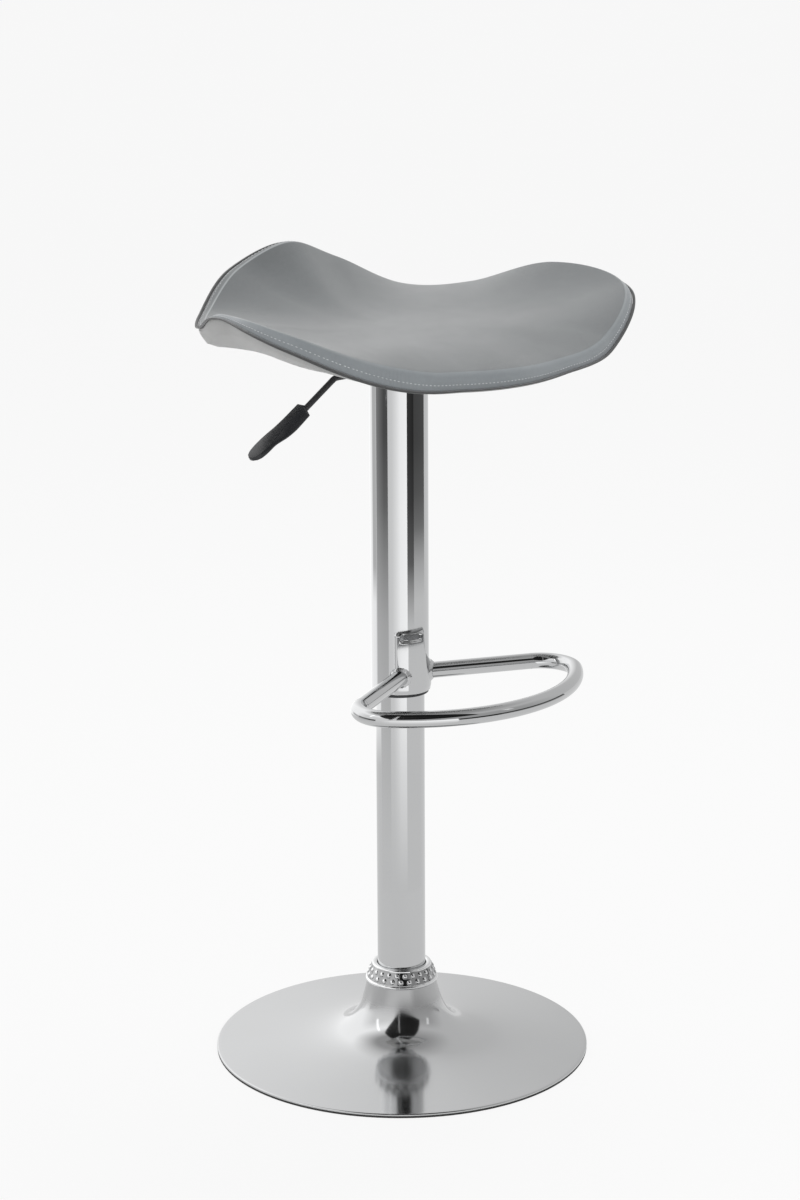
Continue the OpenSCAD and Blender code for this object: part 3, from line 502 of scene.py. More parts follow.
def edge_frame(a):
    """Ridge corner, foot of the band and how far the ridge's rounding reaches, at angle a."""
    r, z = rim_r(a), rim_z(a)
    corner = (r - around(RIDGE_INSETS, a), z + around(RIDGE_HEIGHTS, a))
    foot = (r - SEAM_W - SOFT_GAP, z + SOFT_GAP)
    return corner, foot, around(RIDGE_ROUNDS, a)


def pucker(a, weight):
    """Depth of the small gathers in the cover along its sewn edge, deeper at the seat's tips."""
    tips = 0.5 + 0.5 * abs(math.sin(math.radians(a))) ** 6
    uneven = 0.65 + 0.25 * math.sin(math.radians(23 * a)) + 0.1 * math.sin(math.radians(61 * a + 40))
    return PUCKER * tips * uneven * weight * (0.5 + 0.5 * math.cos(math.radians(PUCKERS * a)))


def edge_profile(a):
    """Points from the top's outer end over the ridge and down the band, as (outward, up)."""
    (corner_x, corner_z), (foot_x, foot_z), reach_in = edge_frame(a)
    start = (corner_x - reach_in, top_z(1 - reach_in / corner_x, a))
    length = math.hypot(foot_x - corner_x, foot_z - corner_z)
    along = ((foot_x - corner_x) / length, (foot_z - corner_z) / length)
    normal = (-along[1], along[0])
    after = min(reach_in, ROUNDED_SHARE * length)
    end = (corner_x + along[0] * after, corner_z + along[1] * after)
    profile = []
    for i in range(RIDGE_STEPS + 1):
        t = i / RIDGE_STEPS
        point = [(1 - t) ** 2 * first + 2 * t * (1 - t) * middle + t * t * last
                 for first, middle, last in zip(start, (corner_x, corner_z), end)]
        dent = pucker(a, RIDGE_PUCKER * t)
        profile.append((point[0] - normal[0] * dent, point[1] - normal[1] * dent))
    for i in range(1, BAND_STEPS + 1):
        t = i / BAND_STEPS
        out = BAND_BULGE * math.sin(math.pi * t)
        if i < BAND_STEPS:
            out -= pucker(a, RIDGE_PUCKER + (1 - RIDGE_PUCKER) * t)
        profile.append((end[0] + (foot_x - end[0]) * t + normal[0] * out,
                        end[1] + (foot_z - end[1]) * t + normal[1] * out))
    return profile


PROFILES = [edge_profile(a) for a in ANGLES]


def inside_seam(s, a):
    """Radius at share s of the way to the seam's inner side, at angle a."""
    return (rim_r(a) - SEAM_W - SOFT_GAP) * s


def cushion_rings():
    """Rings of the top, the ridge and the band, and then of the foam's underside back to the middle."""
    rings = []
    for i in range(1, TOP_STEPS + 1):
        share = i / (TOP_STEPS + 1)
        ring = []
        for a, profile in zip(ANGLES, PROFILES):
            corner_x = rim_r(a) - around(RIDGE_INSETS, a)
            r = profile[0][0] * share
            ring.append(spot(r, a, top_z(r / corner_x, a)))
        rings.append(ring)
    for k in range(len(PROFILES[0])):
        rings.append([spot(profile[k][0], a, profile[k][1]) for a, profile in zip(ANGLES, PROFILES)])
    inner = COVER_T + SOFT_GAP
    for s, lift in FOAM_RINGS:
        rings.append([spot(inside_seam(s, a), a, under_z(s, a) + inner + lift) for a in ANGLES])
    return rings


foam_middle = (0, 0, SEAT_Z + COVER_T + SOFT_GAP + FOAM_INSIDE)
points, faces = lofted(cushion_rings(), (0, 0, CROWN_Z), foam_middle)
cushion = mesh_piece("seat_cushion_cover", points, faces,
                     ["grey_leatherette", "band_painted_light", "ridge_painted_highlight"])
first_edge = (TOP_STEPS + 1) * SEAT_STEPS
last_edge = (TOP_STEPS + RIDGE_STEPS + BAND_STEPS) * SEAT_STEPS
ridge_start = first_edge + SEAT_STEPS
ridge_end = first_edge + (RIDGE_STEPS - 2) * SEAT_STEPS
# The ridge and the band take the band's painted light; within the highlight's angles the ridge's faces take
# the painted highlight
for face in cushion.data.polygons:
    if first_edge <= face.index < last_edge:
        on_ridge = ridge_start <= face.index < ridge_end
        sharp = PAINTED_HIGHLIGHT_SPAN[0] < ANGLES[(face.index - SEAT_STEPS) % SEAT_STEPS] < PAINTED_HIGHLIGHT_SPAN[1]
        face.material_index = 2 if on_ridge and sharp else 1
finish_piece(cushion, "lift", "grey_leatherette", "seat_cushion")

# Stitches along the band
STITCH_PITCH = 4.4 * MM
STITCH_LENGTH = 2.1 * MM
THREAD_R = 0.38 * MM
STITCH_PLACE = RIDGE_STEPS + 3
THREAD_OUT, THREAD_UP = 0.5, 0.3
THREAD_SECTIONS = ((-0.5, 0.45), (-0.38, 0.95), (0, 1), (0.38, 0.95), (0.5, 0.45))
THREAD_TIPS = (-0.52, 0.52)


def capsule(centre, along, radius, length, sides=6):
    """Points and faces of a short thread with round ends."""
    along = along.normalized()
    across = along.orthogonal().normalized()
    third = along.cross(across)
    rings = []
    for place, share in THREAD_SECTIONS:
        mid = centre + along * length * place
        rings.append([mid + (across * math.cos(t) + third * math.sin(t)) * radius * share
                      for t in (2 * math.pi * k / sides for k in range(sides))])
    ends = [centre + along * length * place for place in THREAD_TIPS]
    return lofted(rings, ends[0], ends[1])


def stitches():
    """Single threads at an even pitch along the band."""
    line = [spot(profile[STITCH_PLACE][0] + THREAD_R * THREAD_OUT, a,
                 profile[STITCH_PLACE][1] + THREAD_R * THREAD_UP) for a, profile in zip(ANGLES, PROFILES)]
    points, faces, travelled, wanted = [], [], 0.0, 0.0
    for j in range(SEAT_STEPS):
        here, there = line[j], line[(j + 1) % SEAT_STEPS]
        if travelled >= wanted:
            way = line[(j + 2) % SEAT_STEPS] - line[j - 2]
            new_points, new_faces = capsule(here, way, THREAD_R, STITCH_LENGTH)
            faces.extend(tuple(i + len(points) for i in face) for face in new_faces)
            points.extend(new_points)
            wanted += STITCH_PITCH
        travelled += (there - here).length
    return points, faces


finish_piece(mesh_piece("seat_stitches", *stitches(), ["stitch_thread"]), "lift", "grey_leatherette")

# Sewn flange: the two raw edges of the cover, with the groove of their seam
FLANGE_SECTION = ((0, -0.5), (0.6, -0.5), (1, -0.3), (1, -0.06), (0.8, 0),
                  (1, 0.06), (1, 0.3), (0.6, 0.5), (0, 0.5))
FLANGE_TOP = 1.2 * MM
flange = []
for out, height in FLANGE_SECTION:
    ring = []
    for a in ANGLES[::3]:
        depth = around(FLANGE_DEPTHS, a)
        ring.append(spot(rim_r(a) - SEAM_W * (1 - out), a, rim_z(a) + FLANGE_TOP + depth * (height - 0.5)))
    flange.append(ring)
points, faces = lofted(flange + [flange[0]])
# The flange's dark grey is partly the raw edges' own tone and partly painted shade
sewn_flange = mesh_piece("seat_sewn_flange", points, faces, ["cut_edge_and_painted_shade"])
finish_piece(sewn_flange, "lift", "grey_leatherette", "seat_seam")

# Cover under the seat
SHARES_NEAR_SEAM = [0.94, 0.955, 0.965, 0.975, 0.985, 0.992, 0.997, 1]
under_rings = []
under_shares = [i / 25 for i in range(1, 24)] + SHARES_NEAR_SEAM
for shares, thick in ((under_shares, COVER_T), (under_shares[::-1], 0)):
    for s in shares:
        under_rings.append([spot(inside_seam(s, a), a, under_z(s, a) + thick) for a in ANGLES[::4]])
points, faces = lofted(under_rings, (0, 0, SEAT_Z + COVER_T), (0, 0, SEAT_Z))
under_cover = mesh_piece("seat_under_cover", points, faces, ["light_grey_cover"])
finish_piece(under_cover, "lift", "light_grey_cover", "seat_underside")


# Base: the spun trumpet with its rolled rim, in the source's sizes
TURNED = 288
BASE_R = 195 * MM
NECK_R = 36 * MM
NECK_TOP = 73 * MM
RIM_TOP = 4.2 * MM
RIM_ROLL = 1.4 * MM
RIM_FOOT = 2.2 * MM
DISH_RISE = 12 * MM
FLARE = 3.2
SHEET_T = 2 * MM
BASE_STEPS, NECK_CROWDING, RIM_STEPS = 90, 1.7, 6
SLOPE_STEP = 0.1 * MM


def base_top(r):
    """Height of the trumpet's top at radius r."""
    rim_share = (NECK_R / BASE_R) ** FLARE
    slope = DISH_RISE * (BASE_R - r) / (BASE_R - NECK_R)
    rise = NECK_TOP - RIM_TOP - DISH_RISE
    return RIM_TOP + slope + rise * ((NECK_R / r) ** FLARE - rim_share) / (1 - rim_share)


def turned(profile):
    """Rings of a solid turned round the column from its profile of (radius, height), closed on itself."""
    rings = [[spot(r, 360 * j / TURNED, z) for j in range(TURNED)] for r, z in profile]
    return lofted(rings + [rings[0]])


def base_profile():
    """Section of the trumpet's sheet as (radius, height): its top, its rolled rim and its inside."""
    outer = []
    for i in range(BASE_STEPS + 1):
        r = NECK_R + (BASE_R - RIM_ROLL - NECK_R) * (i / BASE_STEPS) ** NECK_CROWDING
        outer.append((r, base_top(r)))
    rim_z_top = outer[-1][1]
    rim = [(BASE_R - RIM_ROLL + RIM_ROLL * math.sin(t), rim_z_top - RIM_ROLL + RIM_ROLL * math.cos(t))
           for t in (math.pi / 2 * k / RIM_STEPS for k in range(1, RIM_STEPS + 1))]
    rim += [(BASE_R, RIM_FOOT), (BASE_R - SHEET_T - RIM_ROLL, RIM_FOOT)]
    inner = []
    for r, z in outer[-2::-1]:
        slope = (base_top(r + SLOPE_STEP) - base_top(r)) / SLOPE_STEP
        size = math.hypot(1, slope)
        inner.append((r + SHEET_T * slope / size, z - SHEET_T / size))
    return outer + rim + inner


trumpet = mesh_piece("base_trumpet", *turned(base_profile()), ["chrome_base"])
finish_piece(trumpet, "base", "chrome_sheet", "base_cover")

# Collar: rolled foot, two rows of pressed beads and a rounded top
COLLAR_TOP = 92 * MM
COLLAR_FOOT_R = 36.4 * MM
COLLAR_TOP_R = 31 * MM
ROLL_R = 1.7 * MM
BEADS = 24
BEAD_R = 2.4 * MM
BEAD_OUT = 1.5 * MM
BEAD_ROUND = 0.7
BEAD_ROWS = (0.3, 0.72)
BEAD_RING_R = 34 * MM
ROLL_AT = 36.2 * MM
WALL_LOW = NECK_TOP + 2 * ROLL_R
WALL_HIGH = COLLAR_TOP - 1.6 * MM
COLLAR_TURNS, ROLL_STEPS, WALL_STEPS = 576, 12, 31
# Lip, inside and foot of the collar's section, as (radius, height) in millimetres
COLLAR_LIP = [(31.1, 90.5), (30.9, 91.2), (30.4, 91.8), (29.6, 92), (27.2, 92), (26, 91.7), (25.5, 91),
              (25.4, 90), (25.4, 88.8), (28, 88.8), (34.2, 76.2), (33.6, 73)]


def bead_height(a, share):
    """How far the wall stands out at angle a and this share of its height."""
    out = 0.0
    for row, middle in enumerate(BEAD_ROWS):
        turn = ((a / 360 * BEADS + row / 2 + 0.5) % 1 - 0.5) / BEADS
        sideways = turn * 2 * math.pi * BEAD_RING_R
        distance = math.hypot(sideways, (share - middle) * (WALL_HIGH - WALL_LOW)) / BEAD_R
        out += BEAD_OUT * max(0.0, 1 - distance * distance) ** BEAD_ROUND
    return out


def collar():
    """Points and faces of the collar, from its rolled foot over the beaded wall and the lip."""
    angles = [360 * j / COLLAR_TURNS for j in range(COLLAR_TURNS)]
    rows = [[(ROLL_AT + ROLL_R * math.sin(t), NECK_TOP + ROLL_R - ROLL_R * math.cos(t)) for _ in angles]
            for t in (math.pi * k / ROLL_STEPS for k in range(ROLL_STEPS + 1))]
    for k in range(1, WALL_STEPS):
        share = k / WALL_STEPS
        r = COLLAR_FOOT_R + (COLLAR_TOP_R - COLLAR_FOOT_R) * share
        z = WALL_LOW + (WALL_HIGH - WALL_LOW) * share
        rows.append([(r + bead_height(a, share), z) for a in angles])
    for r, z in COLLAR_LIP:
        rows.append([(r * MM, z * MM) for _ in angles])
    rings = [[spot(r, a, z) for (r, z), a in zip(row, angles)] for row in rows]
    return lofted(rings + [rings[0]])


# Faces of the ground between the beads take a darker chrome than the beads and the rolled foot
GROUND_BELOW = 0.55 * BEAD_OUT
beaded = mesh_piece("collar_beaded", *collar(), ["chrome_collar", "collar_ground"])
for face in beaded.data.polygons:
    row, place = divmod(face.index, COLLAR_TURNS)
    if ROLL_STEPS < row < ROLL_STEPS + WALL_STEPS - 1:
        share = (row - ROLL_STEPS) / WALL_STEPS
        on_ground = bead_height(360 * place / COLLAR_TURNS, share) < GROUND_BELOW
        face.material_index = 1 if on_ground else 0
finish_piece(beaded, "base", "chrome_sheet", "column_collar")

# Footrest bracket: pressed plate with its off-centre tongue, whose top is pushed in between two horns
SLEEVE_END = 390.5 * MM
BRACKET_TOP = SLEEVE_END + 65.5 * MM
BAND_TOP = SLEEVE_END + 29 * MM
FLARE_TOP = BRACKET_TOP - 14 * MM
PLATE_IN = 29.56 * MM
PLATE_OUT = 31.9 * MM
PLATE_LOW = 31.1 * MM
PLATE_HALF = 25.24 * MM
TONGUE_RIGHT = 4.76 * MM
# Shares of the way from the tongue's right edge to the band's, in even steps down
FLARE_SHARES = [0, 0.03, 0.08, 0.16, 0.27, 0.4, 0.6, 1]
CREASE_Z = BRACKET_TOP - 11 * MM
CREASE_REACH, CREASE_DEEP = 2.5 * MM, 2.1 * MM
HORN_SHARES = (0.1, 0.24)
TOP_ROUND, TOP_LEAN = 3.5 * MM, 2.2 * MM
SIDE_ROUND, SIDE_DEEP = 0.045, 0.8 * MM
LOW_ROUND = 5 * MM
TOP_DIP = 1.6 * MM
DIP_SIDES, DIP_HEIGHTS = (0.1, 0.35), (0.75, 1)
PLATE_COLUMNS, PLATE_ROWS = 48, 90


def ease(low, high, value):
    """From 0 at low to 1 at high, with soft ends."""
    t = min(1.0, max(0.0, (value - low) / (high - low)))
    return t * t * (3 - 2 * t)


def plate_right(z):
    """Right edge of the bracket's plate, as a distance along X, at height z."""
    if z <= BAND_TOP:
        return PLATE_HALF
    down = min(1.0, (FLARE_TOP - z) / (FLARE_TOP - BAND_TOP)) if z < FLARE_TOP else 0.0
    place = down * (len(FLARE_SHARES) - 1)
    i = min(int(place), len(FLARE_SHARES) - 2)
    share = FLARE_SHARES[i] + (FLARE_SHARES[i + 1] - FLARE_SHARES[i]) * (place - i)
    return TONGUE_RIGHT + (PLATE_HALF - TONGUE_RIGHT) * share


def plate_radius(u, z):
    """Outer radius of the plate at share u of its width and height z."""
    edge = min(u, 1 - u)
    full = PLATE_LOW + (PLATE_OUT - PLATE_LOW) * ease(SLEEVE_END, SLEEVE_END + LOW_ROUND, z)
    horn = 1 - ease(*HORN_SHARES, edge)
    pushed = ease(CREASE_Z, CREASE_Z + CREASE_REACH, z) * (1 - horn)
    over = ease(BRACKET_TOP - TOP_ROUND, BRACKET_TOP, z)
    rim = 1 - ease(0, SIDE_ROUND, edge)
    return full - CREASE_DEEP * pushed - TOP_LEAN * over * horn - SIDE_DEEP * rim


def bracket():
    """Points and faces of the plate: a grid of outer and inner points, closed at its four sides."""
    columns, rows = PLATE_COLUMNS, PLATE_ROWS
    points, faces = [], []
    for i in range(rows + 1):
        share = i / rows
        for j in range(columns + 1):
            u = j / columns
            dip = TOP_DIP * ease(*DIP_SIDES, min(u, 1 - u)) * ease(*DIP_HEIGHTS, share)
            z = SLEEVE_END + (BRACKET_TOP - SLEEVE_END) * share - dip
            x = -PLATE_HALF + (plate_right(z) + PLATE_HALF) * u
            a = math.degrees(math.asin(x / PLATE_LOW))
            points.append(spot(plate_radius(u, z), a, z))
            points.append(spot(PLATE_IN, a, z))
    wide = 2 * (columns + 1)
    for i in range(rows):
        for j in range(columns):
            k = i * wide + 2 * j
            faces.append((k, k + 2, k + wide + 2, k + wide))
            faces.append((k + 1, k + wide + 1, k + wide + 3, k + 3))
        for k, flip in ((i * wide, 1), ((i + 1) * wide - 2, 0)):
            face = (k, k + 1, k + wide + 1, k + wide)
            faces.append(face if flip == 0 else face[::-1])
    for j in range(columns):
        for k, flip in ((2 * j, 0), (rows * wide + 2 * j, 1)):
            face = (k, k + 1, k + 3, k + 2)
            faces.append(face if flip == 0 else face[::-1])
    return points, faces


plate = mesh_piece("bracket_plate", *bracket(), ["chrome_sheet"])
finish_piece(plate, "lift", "chrome_sheet", "footrest_bracket")

# Welds: a lumpy fillet round each leg's root, from the plate or the sleeve onto the leg
REST_Z = SLEEVE_END + 18.5 * MM
REST_R = 8.2 * MM
REST_APEX = 12 * MM
REST_SPREAD = math.radians(64)
# Section of the fillet as (out from the leg's skin, along it), in millimetres
FILLET = [(0.1, -1.4), (2.3, -0.9), (2.5, 0), (2, 0.9), (1.2, 1.9), (0.5, 2.8), (0.08, 3.4), (0.03, 1)]
LUMPS, LUMP_SHARE = 11, 0.22
WELD_POINTS = 66
WELDED_R, WELDED_DROP = 31.7 * MM, 2 * MM
DROP_FROM, DROP_TO = 3.5 * MM, 7 * MM


def weld_ring(out, along, hand):
    """Ring of weld this far out from the leg's skin and this far along it from what carries it."""
    ring = []
    for k in range(WELD_POINTS):
        t = 2 * math.pi * k / WELD_POINTS
        lump = LUMP_SHARE * out * math.sin(LUMPS * t + out) ** 2
        radius = REST_R + (out + lump) * MM
        across = radius * math.cos(t)
        surface = WELDED_R - WELDED_DROP * ease(DROP_FROM, DROP_TO, across)
        back = REST_APEX * math.cos(REST_SPREAD)
        rest = across ** 2 + REST_APEX ** 2 - 2 * REST_APEX * across * math.sin(REST_SPREAD) - surface ** 2
        way = math.sqrt(back * back - rest) - back + along * MM
        x = way * math.sin(REST_SPREAD) + across * math.cos(REST_SPREAD)
        y = across * math.sin(REST_SPREAD) - REST_APEX - way * math.cos(REST_SPREAD)
        ring.append(Vector((hand * x, y, REST_Z + radius * math.sin(t))))
    return ring


def welds():
    """Points and faces of both legs' fillets, each closed on itself."""
    points, faces = [], []
    for hand in (-1, 1):
        rings = [weld_ring(out, along, hand) for out, along in FILLET]
        new_points, new_faces = lofted(rings + [rings[0]])
        faces.extend(tuple(i + len(points) for i in face) for face in new_faces)
        points.extend(new_points)
    return points, faces


leg_welds = mesh_piece("leg_welds", *welds(), ["chrome_sheet"])
finish_piece(leg_welds, "lift", "chrome_sheet", "footrest_welds")

# Lever handle: flat top with crisp edges over a socket that thins to a blade
LEVER_AT = Vector((-88.98, 0, 720.99)) * MM
LEVER_WAY = Vector((-0.8387, 0, -0.5446))
LEVER_UP = Vector((-0.5446, 0, 0.8387))
HANDLE_START = 45.5 * MM
HANDLE_TOP = 7.25 * MM
# Places along the handle, with its width and its depth there, in millimetres
HANDLE_PLACES = [0, 11, 22, 35, 45, 53, 63, 71, 76, 78.6]
HANDLE_WIDTHS = [10.3, 10.6, 11, 13, 16.5, 18.5, 19, 17, 12, 5.5]
HANDLE_DEPTHS = [14.2, 14.5, 14.5, 12.3, 8.8, 6.4, 5.9, 5.6, 4.9, 4]
CRISP_R, SOFT_R, SOFT_SHARE = 0.45 * MM, 2.2 * MM, 0.3
CORNER_STEPS = 5
HANDLE_STEPS, TIP_CROWDING = 40, 1.3
LAST_STEP, TIP_OUT = 0.01, 0.4


def along_table(places, values, at):
    """Value at a place, smoothly between a table's own places."""
    i = max(k for k in range(len(places) - 1) if places[k] <= at)
    near = [values[min(max(i + k, 0), len(values) - 1)] for k in (-1, 0, 1, 2)]
    return smooth(*near, (at - places[i]) / (places[i + 1] - places[i]))


def handle_ring(at):
    """Section of the handle at this place along it: crisp corners on top, soft ones below."""
    width = along_table(HANDLE_PLACES, HANDLE_WIDTHS, at) * MM
    depth = along_table(HANDLE_PLACES, HANDLE_DEPTHS, at) * MM
    ring = []
    soft = min(SOFT_SHARE * depth, SOFT_R)
    corners = ((1, 1, CRISP_R, 0), (-1, 1, CRISP_R, 90), (-1, -1, soft, 180), (1, -1, soft, 270))
    for across, upward, corner, first in corners:
        centre_w = across * (width / 2 - corner)
        centre_h = HANDLE_TOP - corner if upward > 0 else HANDLE_TOP - depth + corner
        for k in range(CORNER_STEPS + 1):
            t = math.radians(first + 90 / CORNER_STEPS * k)
            ring.append(LEVER_AT + LEVER_WAY * (HANDLE_START + at * MM)
                        + LEVER_UP * (centre_h + corner * math.sin(t))
                        + Vector((0, centre_w + corner * math.cos(t), 0)))
    return ring


def handle():
    """Points and faces of the handle, with its sections closer together at the blade's tip."""
    end = HANDLE_PLACES[-1]
    places = [end * (1 - (1 - i / HANDLE_STEPS) ** TIP_CROWDING) for i in range(HANDLE_STEPS)]
    rings = [handle_ring(at) for at in places + [end - LAST_STEP]]
    middle = [sum(ring, Vector()) / len(ring) for ring in (rings[0], rings[-1])]
    return lofted(rings, middle[0], middle[1] + LEVER_WAY * TIP_OUT * MM)


grip = mesh_piece("handle_grip", *handle(), ["handle_plastic"])
finish_piece(grip, "lever", "black_plastic", "lever_handle")


# Surroundings: a pale room, darker overhead, with a dark opening on the camera's side

def seen_or_mirrored(tree):
    """1 for rays from the camera and for rays off or through a shiny surface."""
    path = add(tree, "ShaderNodeLightPath").outputs
    first = maths(tree, "MAXIMUM", path["Is Camera Ray"], path["Is Glossy Ray"])
    return maths(tree, "MAXIMUM", first, path["Is Transmission Ray"])


# Each strength multiplies the world's own grey of 0.8, so 1.25 is plain white; angles are in degrees
ROOM_LEFT, ROOM_RIGHT, ROOM_TOP = 1.65, 0.82, 0.5
WALLS_MEET = (-0.35, 0.15)
FRONT_SHARE, FRONT_SIDES, FRONT_HEIGHTS = 0.7, (80, 115), (28, 46)
SOFT_LEFT, SOFT_RIGHT, SOFT_SIDES = 1.0, 0.5, (-0.7, 0.7)
OVERHEAD_FROM = (44, 66)
OPENING_APEX, OPENING_LEFT, OPENING_RIGHT = -6, (-56, -53), (48, 50)
OPENING_SILL, OPENING_TOP, OPENING_SHADE = (12, 14), (82, 86), 0.03
SILL_RISES = (0.26, -0.9)
# Bright strips: azimuth, half width, lowest and highest elevation, and how much they add
STRIPS = [(-68, 3, 24, 50, 0.9), (72, 3, 22, 34, 0.6), (-8, 0.8, 10, 60, 0.9)]
BACKGROUND = 1.175


def soft_light(tree):
    """Even light on the object, a little stronger from the left."""
    way = add(tree, "ShaderNodeTexCoord").outputs["Generated"]
    return span(tree, dot(tree, way, side), SOFT_LEFT, SOFT_RIGHT, *SOFT_SIDES)


def room_light(tree):
    """Brightness of the room in each direction, in place of a drawn backdrop."""
    way = add(tree, "ShaderNodeTexCoord").outputs["Generated"]
    turn = azimuth(tree, way)
    height = maths(tree, "MULTIPLY", maths(tree, "ARCSINE", dot(tree, way, (0, 0, 1))), 180 / math.pi)
    walls = span(tree, dot(tree, way, side), ROOM_LEFT, ROOM_RIGHT, *WALLS_MEET)
    front = maths(tree, "MULTIPLY", span(tree, maths(tree, "ABSOLUTE", turn), 1, 0, *FRONT_SIDES),
                  span(tree, height, 1, 0, *FRONT_HEIGHTS))
    walls = maths(tree, "MULTIPLY", walls, span(tree, front, 1, FRONT_SHARE))
    overhead = span(tree, height, 0, 1, *OVERHEAD_FROM)
    level = maths(tree, "ADD", maths(tree, "MULTIPLY", walls, maths(tree, "SUBTRACT", 1, overhead)),
                  maths(tree, "MULTIPLY", overhead, ROOM_TOP))
    leaning = maths(tree, "SUBTRACT", turn, OPENING_APEX)
    sill = maths(tree, "MAXIMUM", *[maths(tree, "MULTIPLY", leaning, rise) for rise in SILL_RISES])
    above_sill = span(tree, maths(tree, "SUBTRACT", height, sill), 0, 1, *OPENING_SILL)
    sides = maths(tree, "MULTIPLY", span(tree, turn, 0, 1, *OPENING_LEFT),
                  span(tree, turn, 1, 0, *OPENING_RIGHT))
    within = maths(tree, "MULTIPLY", above_sill, span(tree, height, 1, 0, *OPENING_TOP))
    opening = maths(tree, "MULTIPLY", sides, within)
    level = maths(tree, "MULTIPLY", level, span(tree, opening, 1, OPENING_SHADE))
    for middle, half, low, high, glow in STRIPS:
        inside = maths(tree, "MULTIPLY", maths(tree, "COMPARE", turn, middle, half),
                       maths(tree, "COMPARE", height, (low + high) / 2, (high - low) / 2))
        level = maths(tree, "MULTIPLY_ADD", inside, glow, level)
    return level


world = bpy.data.worlds.new("studio")
bpy.context.scene.world = world
world.use_nodes = True
tree = world.node_tree
tree.nodes.clear()
path = add(tree, "ShaderNodeLightPath").outputs
shiny = maths(tree, "MAXIMUM", path["Is Glossy Ray"], path["Is Transmission Ray"])
lighting = blend(tree, shiny, soft_light(tree), room_light(tree))
level = blend(tree, path["Is Camera Ray"], lighting, BACKGROUND)
room = add(tree, "ShaderNodeBackground")
tree.links.new(level, room.inputs["Strength"])
tree.links.new(room.outputs[0], add(tree, "ShaderNodeOutputWorld").inputs[0])

# Camera
camera_data = bpy.data.cameras.new("camera")
camera_data.sensor_fit = "VERTICAL"
camera_data.sensor_height = SENSOR
camera_data.lens = FOCAL_PIXELS / PHOTO_PIXELS * SENSOR
camera_data.clip_end = 200
camera = bpy.data.objects.new("camera", camera_data)
bpy.context.scene.collection.objects.link(camera)
level_way = toward * math.cos(PITCH) * math.cos(YAW) + side * math.sin(YAW)
forward = (level_way - Vector((0, 0, math.sin(PITCH)))).normalized()
right = forward.cross(Vector((0, 0, 1))).normalized()
up = right.cross(forward)
turned_right = right * math.cos(ROLL) + up * math.sin(ROLL)
turned_up = up * math.cos(ROLL) - right * math.sin(ROLL)
basis = Matrix((turned_right, turned_up, -forward)).transposed()
camera.matrix_world = Matrix.Translation(from_view(0, -DISTANCE, HEIGHT)) @ basis.to_4x4()
bpy.context.scene.camera = camera


# Floor and what the chrome shows

def stage_mesh(name, points, faces, mat):
    """Object of the surroundings, which isn't part of the stool."""
    mesh = bpy.data.meshes.new(name)
    mesh.from_pydata([tuple(p) for p in points], [], faces)
    obj = bpy.data.objects.new(name, mesh)
    bpy.context.scene.collection.objects.link(obj)
    mesh.materials.append(mat)
    return obj


FLOOR_SEEN, FLOOR_MIRRORED, LEFT_GLOW = 1.0, 0.8, 1.35
FAR_GLOW, FAR_FROM, LEFT_TO, GLOW_TO, GLOW_FROM = 0.65, (1.9, 2.15), (-136, -126), (-108, -100), (1, 1.3)
FLOOR_GLOW_SHARE = 0.86
FLOOR_HALF = 40
FLOOR_CLOUDS, FLOOR_DARK, FLOOR_LIGHT = 0.7, 0.85, 0.87


def distance_out(tree, at):
    """Distance from the column's axis."""
    right, away = dot(tree, at, side), dot(tree, at, toward)
    return maths(tree, "SQRT", maths(tree, "ADD", maths(tree, "MULTIPLY", right, right),
                                     maths(tree, "MULTIPLY", away, away)))


def mirrored_floor(tree):
    """The floor as the chrome shows it: brighter behind the stool on its left."""
    at = coords(tree)
    turn = azimuth(tree, at)
    away = distance_out(tree, at)
    near = span(tree, away, LEFT_GLOW, FAR_GLOW, *FAR_FROM)
    edge = maths(tree, "MULTIPLY", span(tree, turn, 1, 0, *LEFT_TO), maths(tree, "SUBTRACT", LEFT_GLOW, near))
    rise = maths(tree, "SUBTRACT", maths(tree, "ADD", near, edge), FLOOR_MIRRORED)
    share = maths(tree, "MULTIPLY", span(tree, turn, 1, 0, *GLOW_TO), span(tree, away, 0, 1, *GLOW_FROM))
    return maths(tree, "MULTIPLY_ADD", share, rise, FLOOR_MIRRORED)


def floor_material():
    """Pale floor that keeps the shadow, and shows a plain level to the camera and to the chrome."""
    mat, tree, shader = material("studio_floor")
    clouds = noise(tree, FLOOR_CLOUDS, 3)
    tree.links.new(ramp(tree, clouds, [(CLOUDS_FROM, grey(FLOOR_DARK)), (CLOUDS_TO, grey(FLOOR_LIGHT))]),
                   shader.inputs["Base Color"])
    shader.inputs["Roughness"].default_value = 0.9
    shader.inputs["Specular IOR Level"].default_value = 0.1
    out = next(n for n in tree.nodes if n.type == "OUTPUT_MATERIAL")
    glow = add(tree, "ShaderNodeEmission")
    camera_ray = add(tree, "ShaderNodeLightPath").outputs["Is Camera Ray"]
    tree.links.new(blend(tree, camera_ray, mirrored_floor(tree), FLOOR_SEEN), glow.inputs["Strength"])
    mix = add(tree, "ShaderNodeMixShader")
    tree.links.new(maths(tree, "MULTIPLY", seen_or_mirrored(tree), FLOOR_GLOW_SHARE), mix.inputs[0])
    tree.links.new(shader.outputs[0], mix.inputs[1])
    tree.links.new(glow.outputs[0], mix.inputs[2])
    tree.links.new(mix.outputs[0], out.inputs[0])
    return mat


half = FLOOR_HALF
stage_mesh("studio_floor", [(-half, -half, 0), (half, -half, 0), (half, half, 0), (-half, half, 0)],
           [(0, 1, 2, 3)], floor_material())

FAN_NEAR, FAN_FAR, FAN_LOW, FAN_RISE = 0.5, 3.6, 4 * MM, 0.45
FAN_FLOOR, FADE_REACH, FAN_STEPS = 0.775, 4, 10


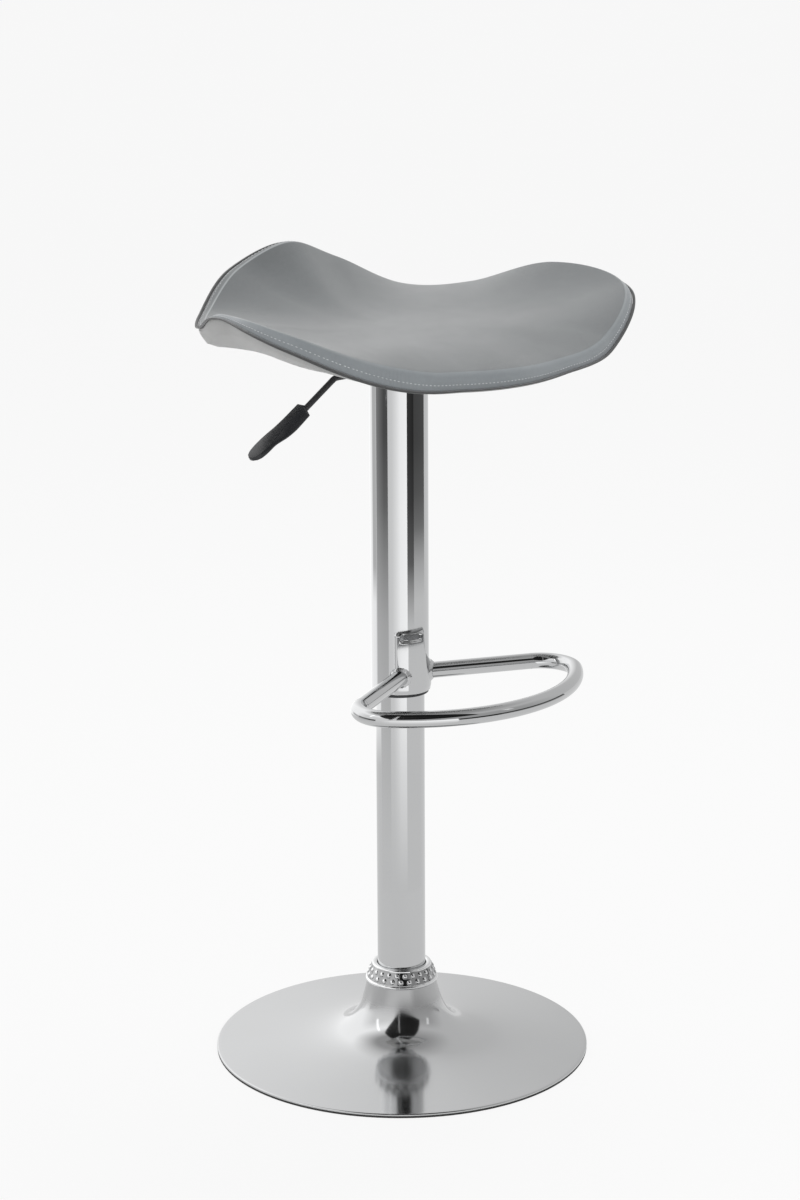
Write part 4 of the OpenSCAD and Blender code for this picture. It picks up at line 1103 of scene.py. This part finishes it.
def fan_material(name, fades, shades, az_low, az_high):
    """A glow whose shade changes with azimuth and which fades into the floor's shade near the stool."""
    mat, tree, shader = material(name)
    at = coords(tree)
    weight = ramp(tree, span(tree, distance_out(tree, at), 0, 1, 0, FADE_REACH),
                  [(r / FADE_REACH, grey(w)) for r, w in fades])
    shade = ramp(tree, span(tree, azimuth(tree, at), 0, 1, az_low, az_high),
                 [((az - az_low) / (az_high - az_low), grey(v)) for az, v in shades])
    glow = add(tree, "ShaderNodeEmission")
    tree.links.new(blend(tree, weight, FAN_FLOOR, shade), glow.inputs["Strength"])
    out = next(n for n in tree.nodes if n.type == "OUTPUT_MATERIAL")
    tree.links.new(glow.outputs[0], out.inputs[0])
    return mat


def fan(name, az_low, az_high, fades, shades):
    """Sloping card round the stool that only shiny surfaces show; azimuths count from the camera's side."""
    points, faces = [], []
    for i in range(FAN_STEPS + 1):
        a = math.radians(az_low + (az_high - az_low) * i / FAN_STEPS)
        for r, z in ((FAN_NEAR, FAN_LOW), (FAN_FAR, FAN_RISE)):
            points.append(from_view(math.sin(a) * r, -math.cos(a) * r, z))
        if i:
            k = 2 * i
            faces.append((k - 2, k, k + 1, k - 1))
    obj = stage_mesh(name, points, faces, fan_material(name, fades, shades, az_low, az_high))
    obj.visible_camera = False
    obj.visible_diffuse = False
    obj.visible_shadow = False


fan("card_left", -100, -45,
    fades=[(0.6, 0), (1.32, 0.3), (1.55, 0.6), (1.8, 0.88), (2.14, 1)],
    shades=[(-100, 0.3), (-82, 0.2), (-62, 0.1), (-45, 0.1)])
fan("card_middle", -45, 31,
    fades=[(0.5, 0), (1.1, 1)],
    shades=[(-45, 0.85), (-28, 0.9), (-12, 1.08), (4, 1.3), (31, 1.38)])
fan("card_right", 31, 59,
    fades=[(1.3, 0), (1.45, 0.5), (1.55, 0.85), (1.8, 0.97), (2.1, 1)],
    shades=[(31, 0.05), (59, 0.03)])
fan("card_far_right", 59, 115,
    fades=[(1.4, 0), (1.55, 0.33), (1.7, 0.8), (1.85, 0.93), (2.1, 1)],
    shades=[(59, 0.08), (115, 0.1)])


def area_light(name, place, target, size_x, size_y, power):
    """Soft lamp that doesn't show in reflections."""
    data = bpy.data.lights.new(name, "AREA")
    data.shape = "RECTANGLE"
    data.size = size_x
    data.size_y = size_y
    data.energy = power
    obj = bpy.data.objects.new(name, data)
    bpy.context.scene.collection.objects.link(obj)
    obj.location = place
    obj.rotation_euler = (Vector(target) - Vector(place)).to_track_quat("-Z", "Y").to_euler()
    obj.visible_glossy = False
    obj.visible_camera = False


LIT_PLACE = (0, 0, 0.7)
area_light("front_light", from_view(0.9, -2.5, 1.1), LIT_PLACE, size_x=1.5, size_y=1, power=11)
area_light("top_light", from_view(0.3, 0.9, 2.9), LIT_PLACE, size_x=1.6, size_y=1.2, power=24)

bpy.context.scene.view_settings.view_transform = "Standard"
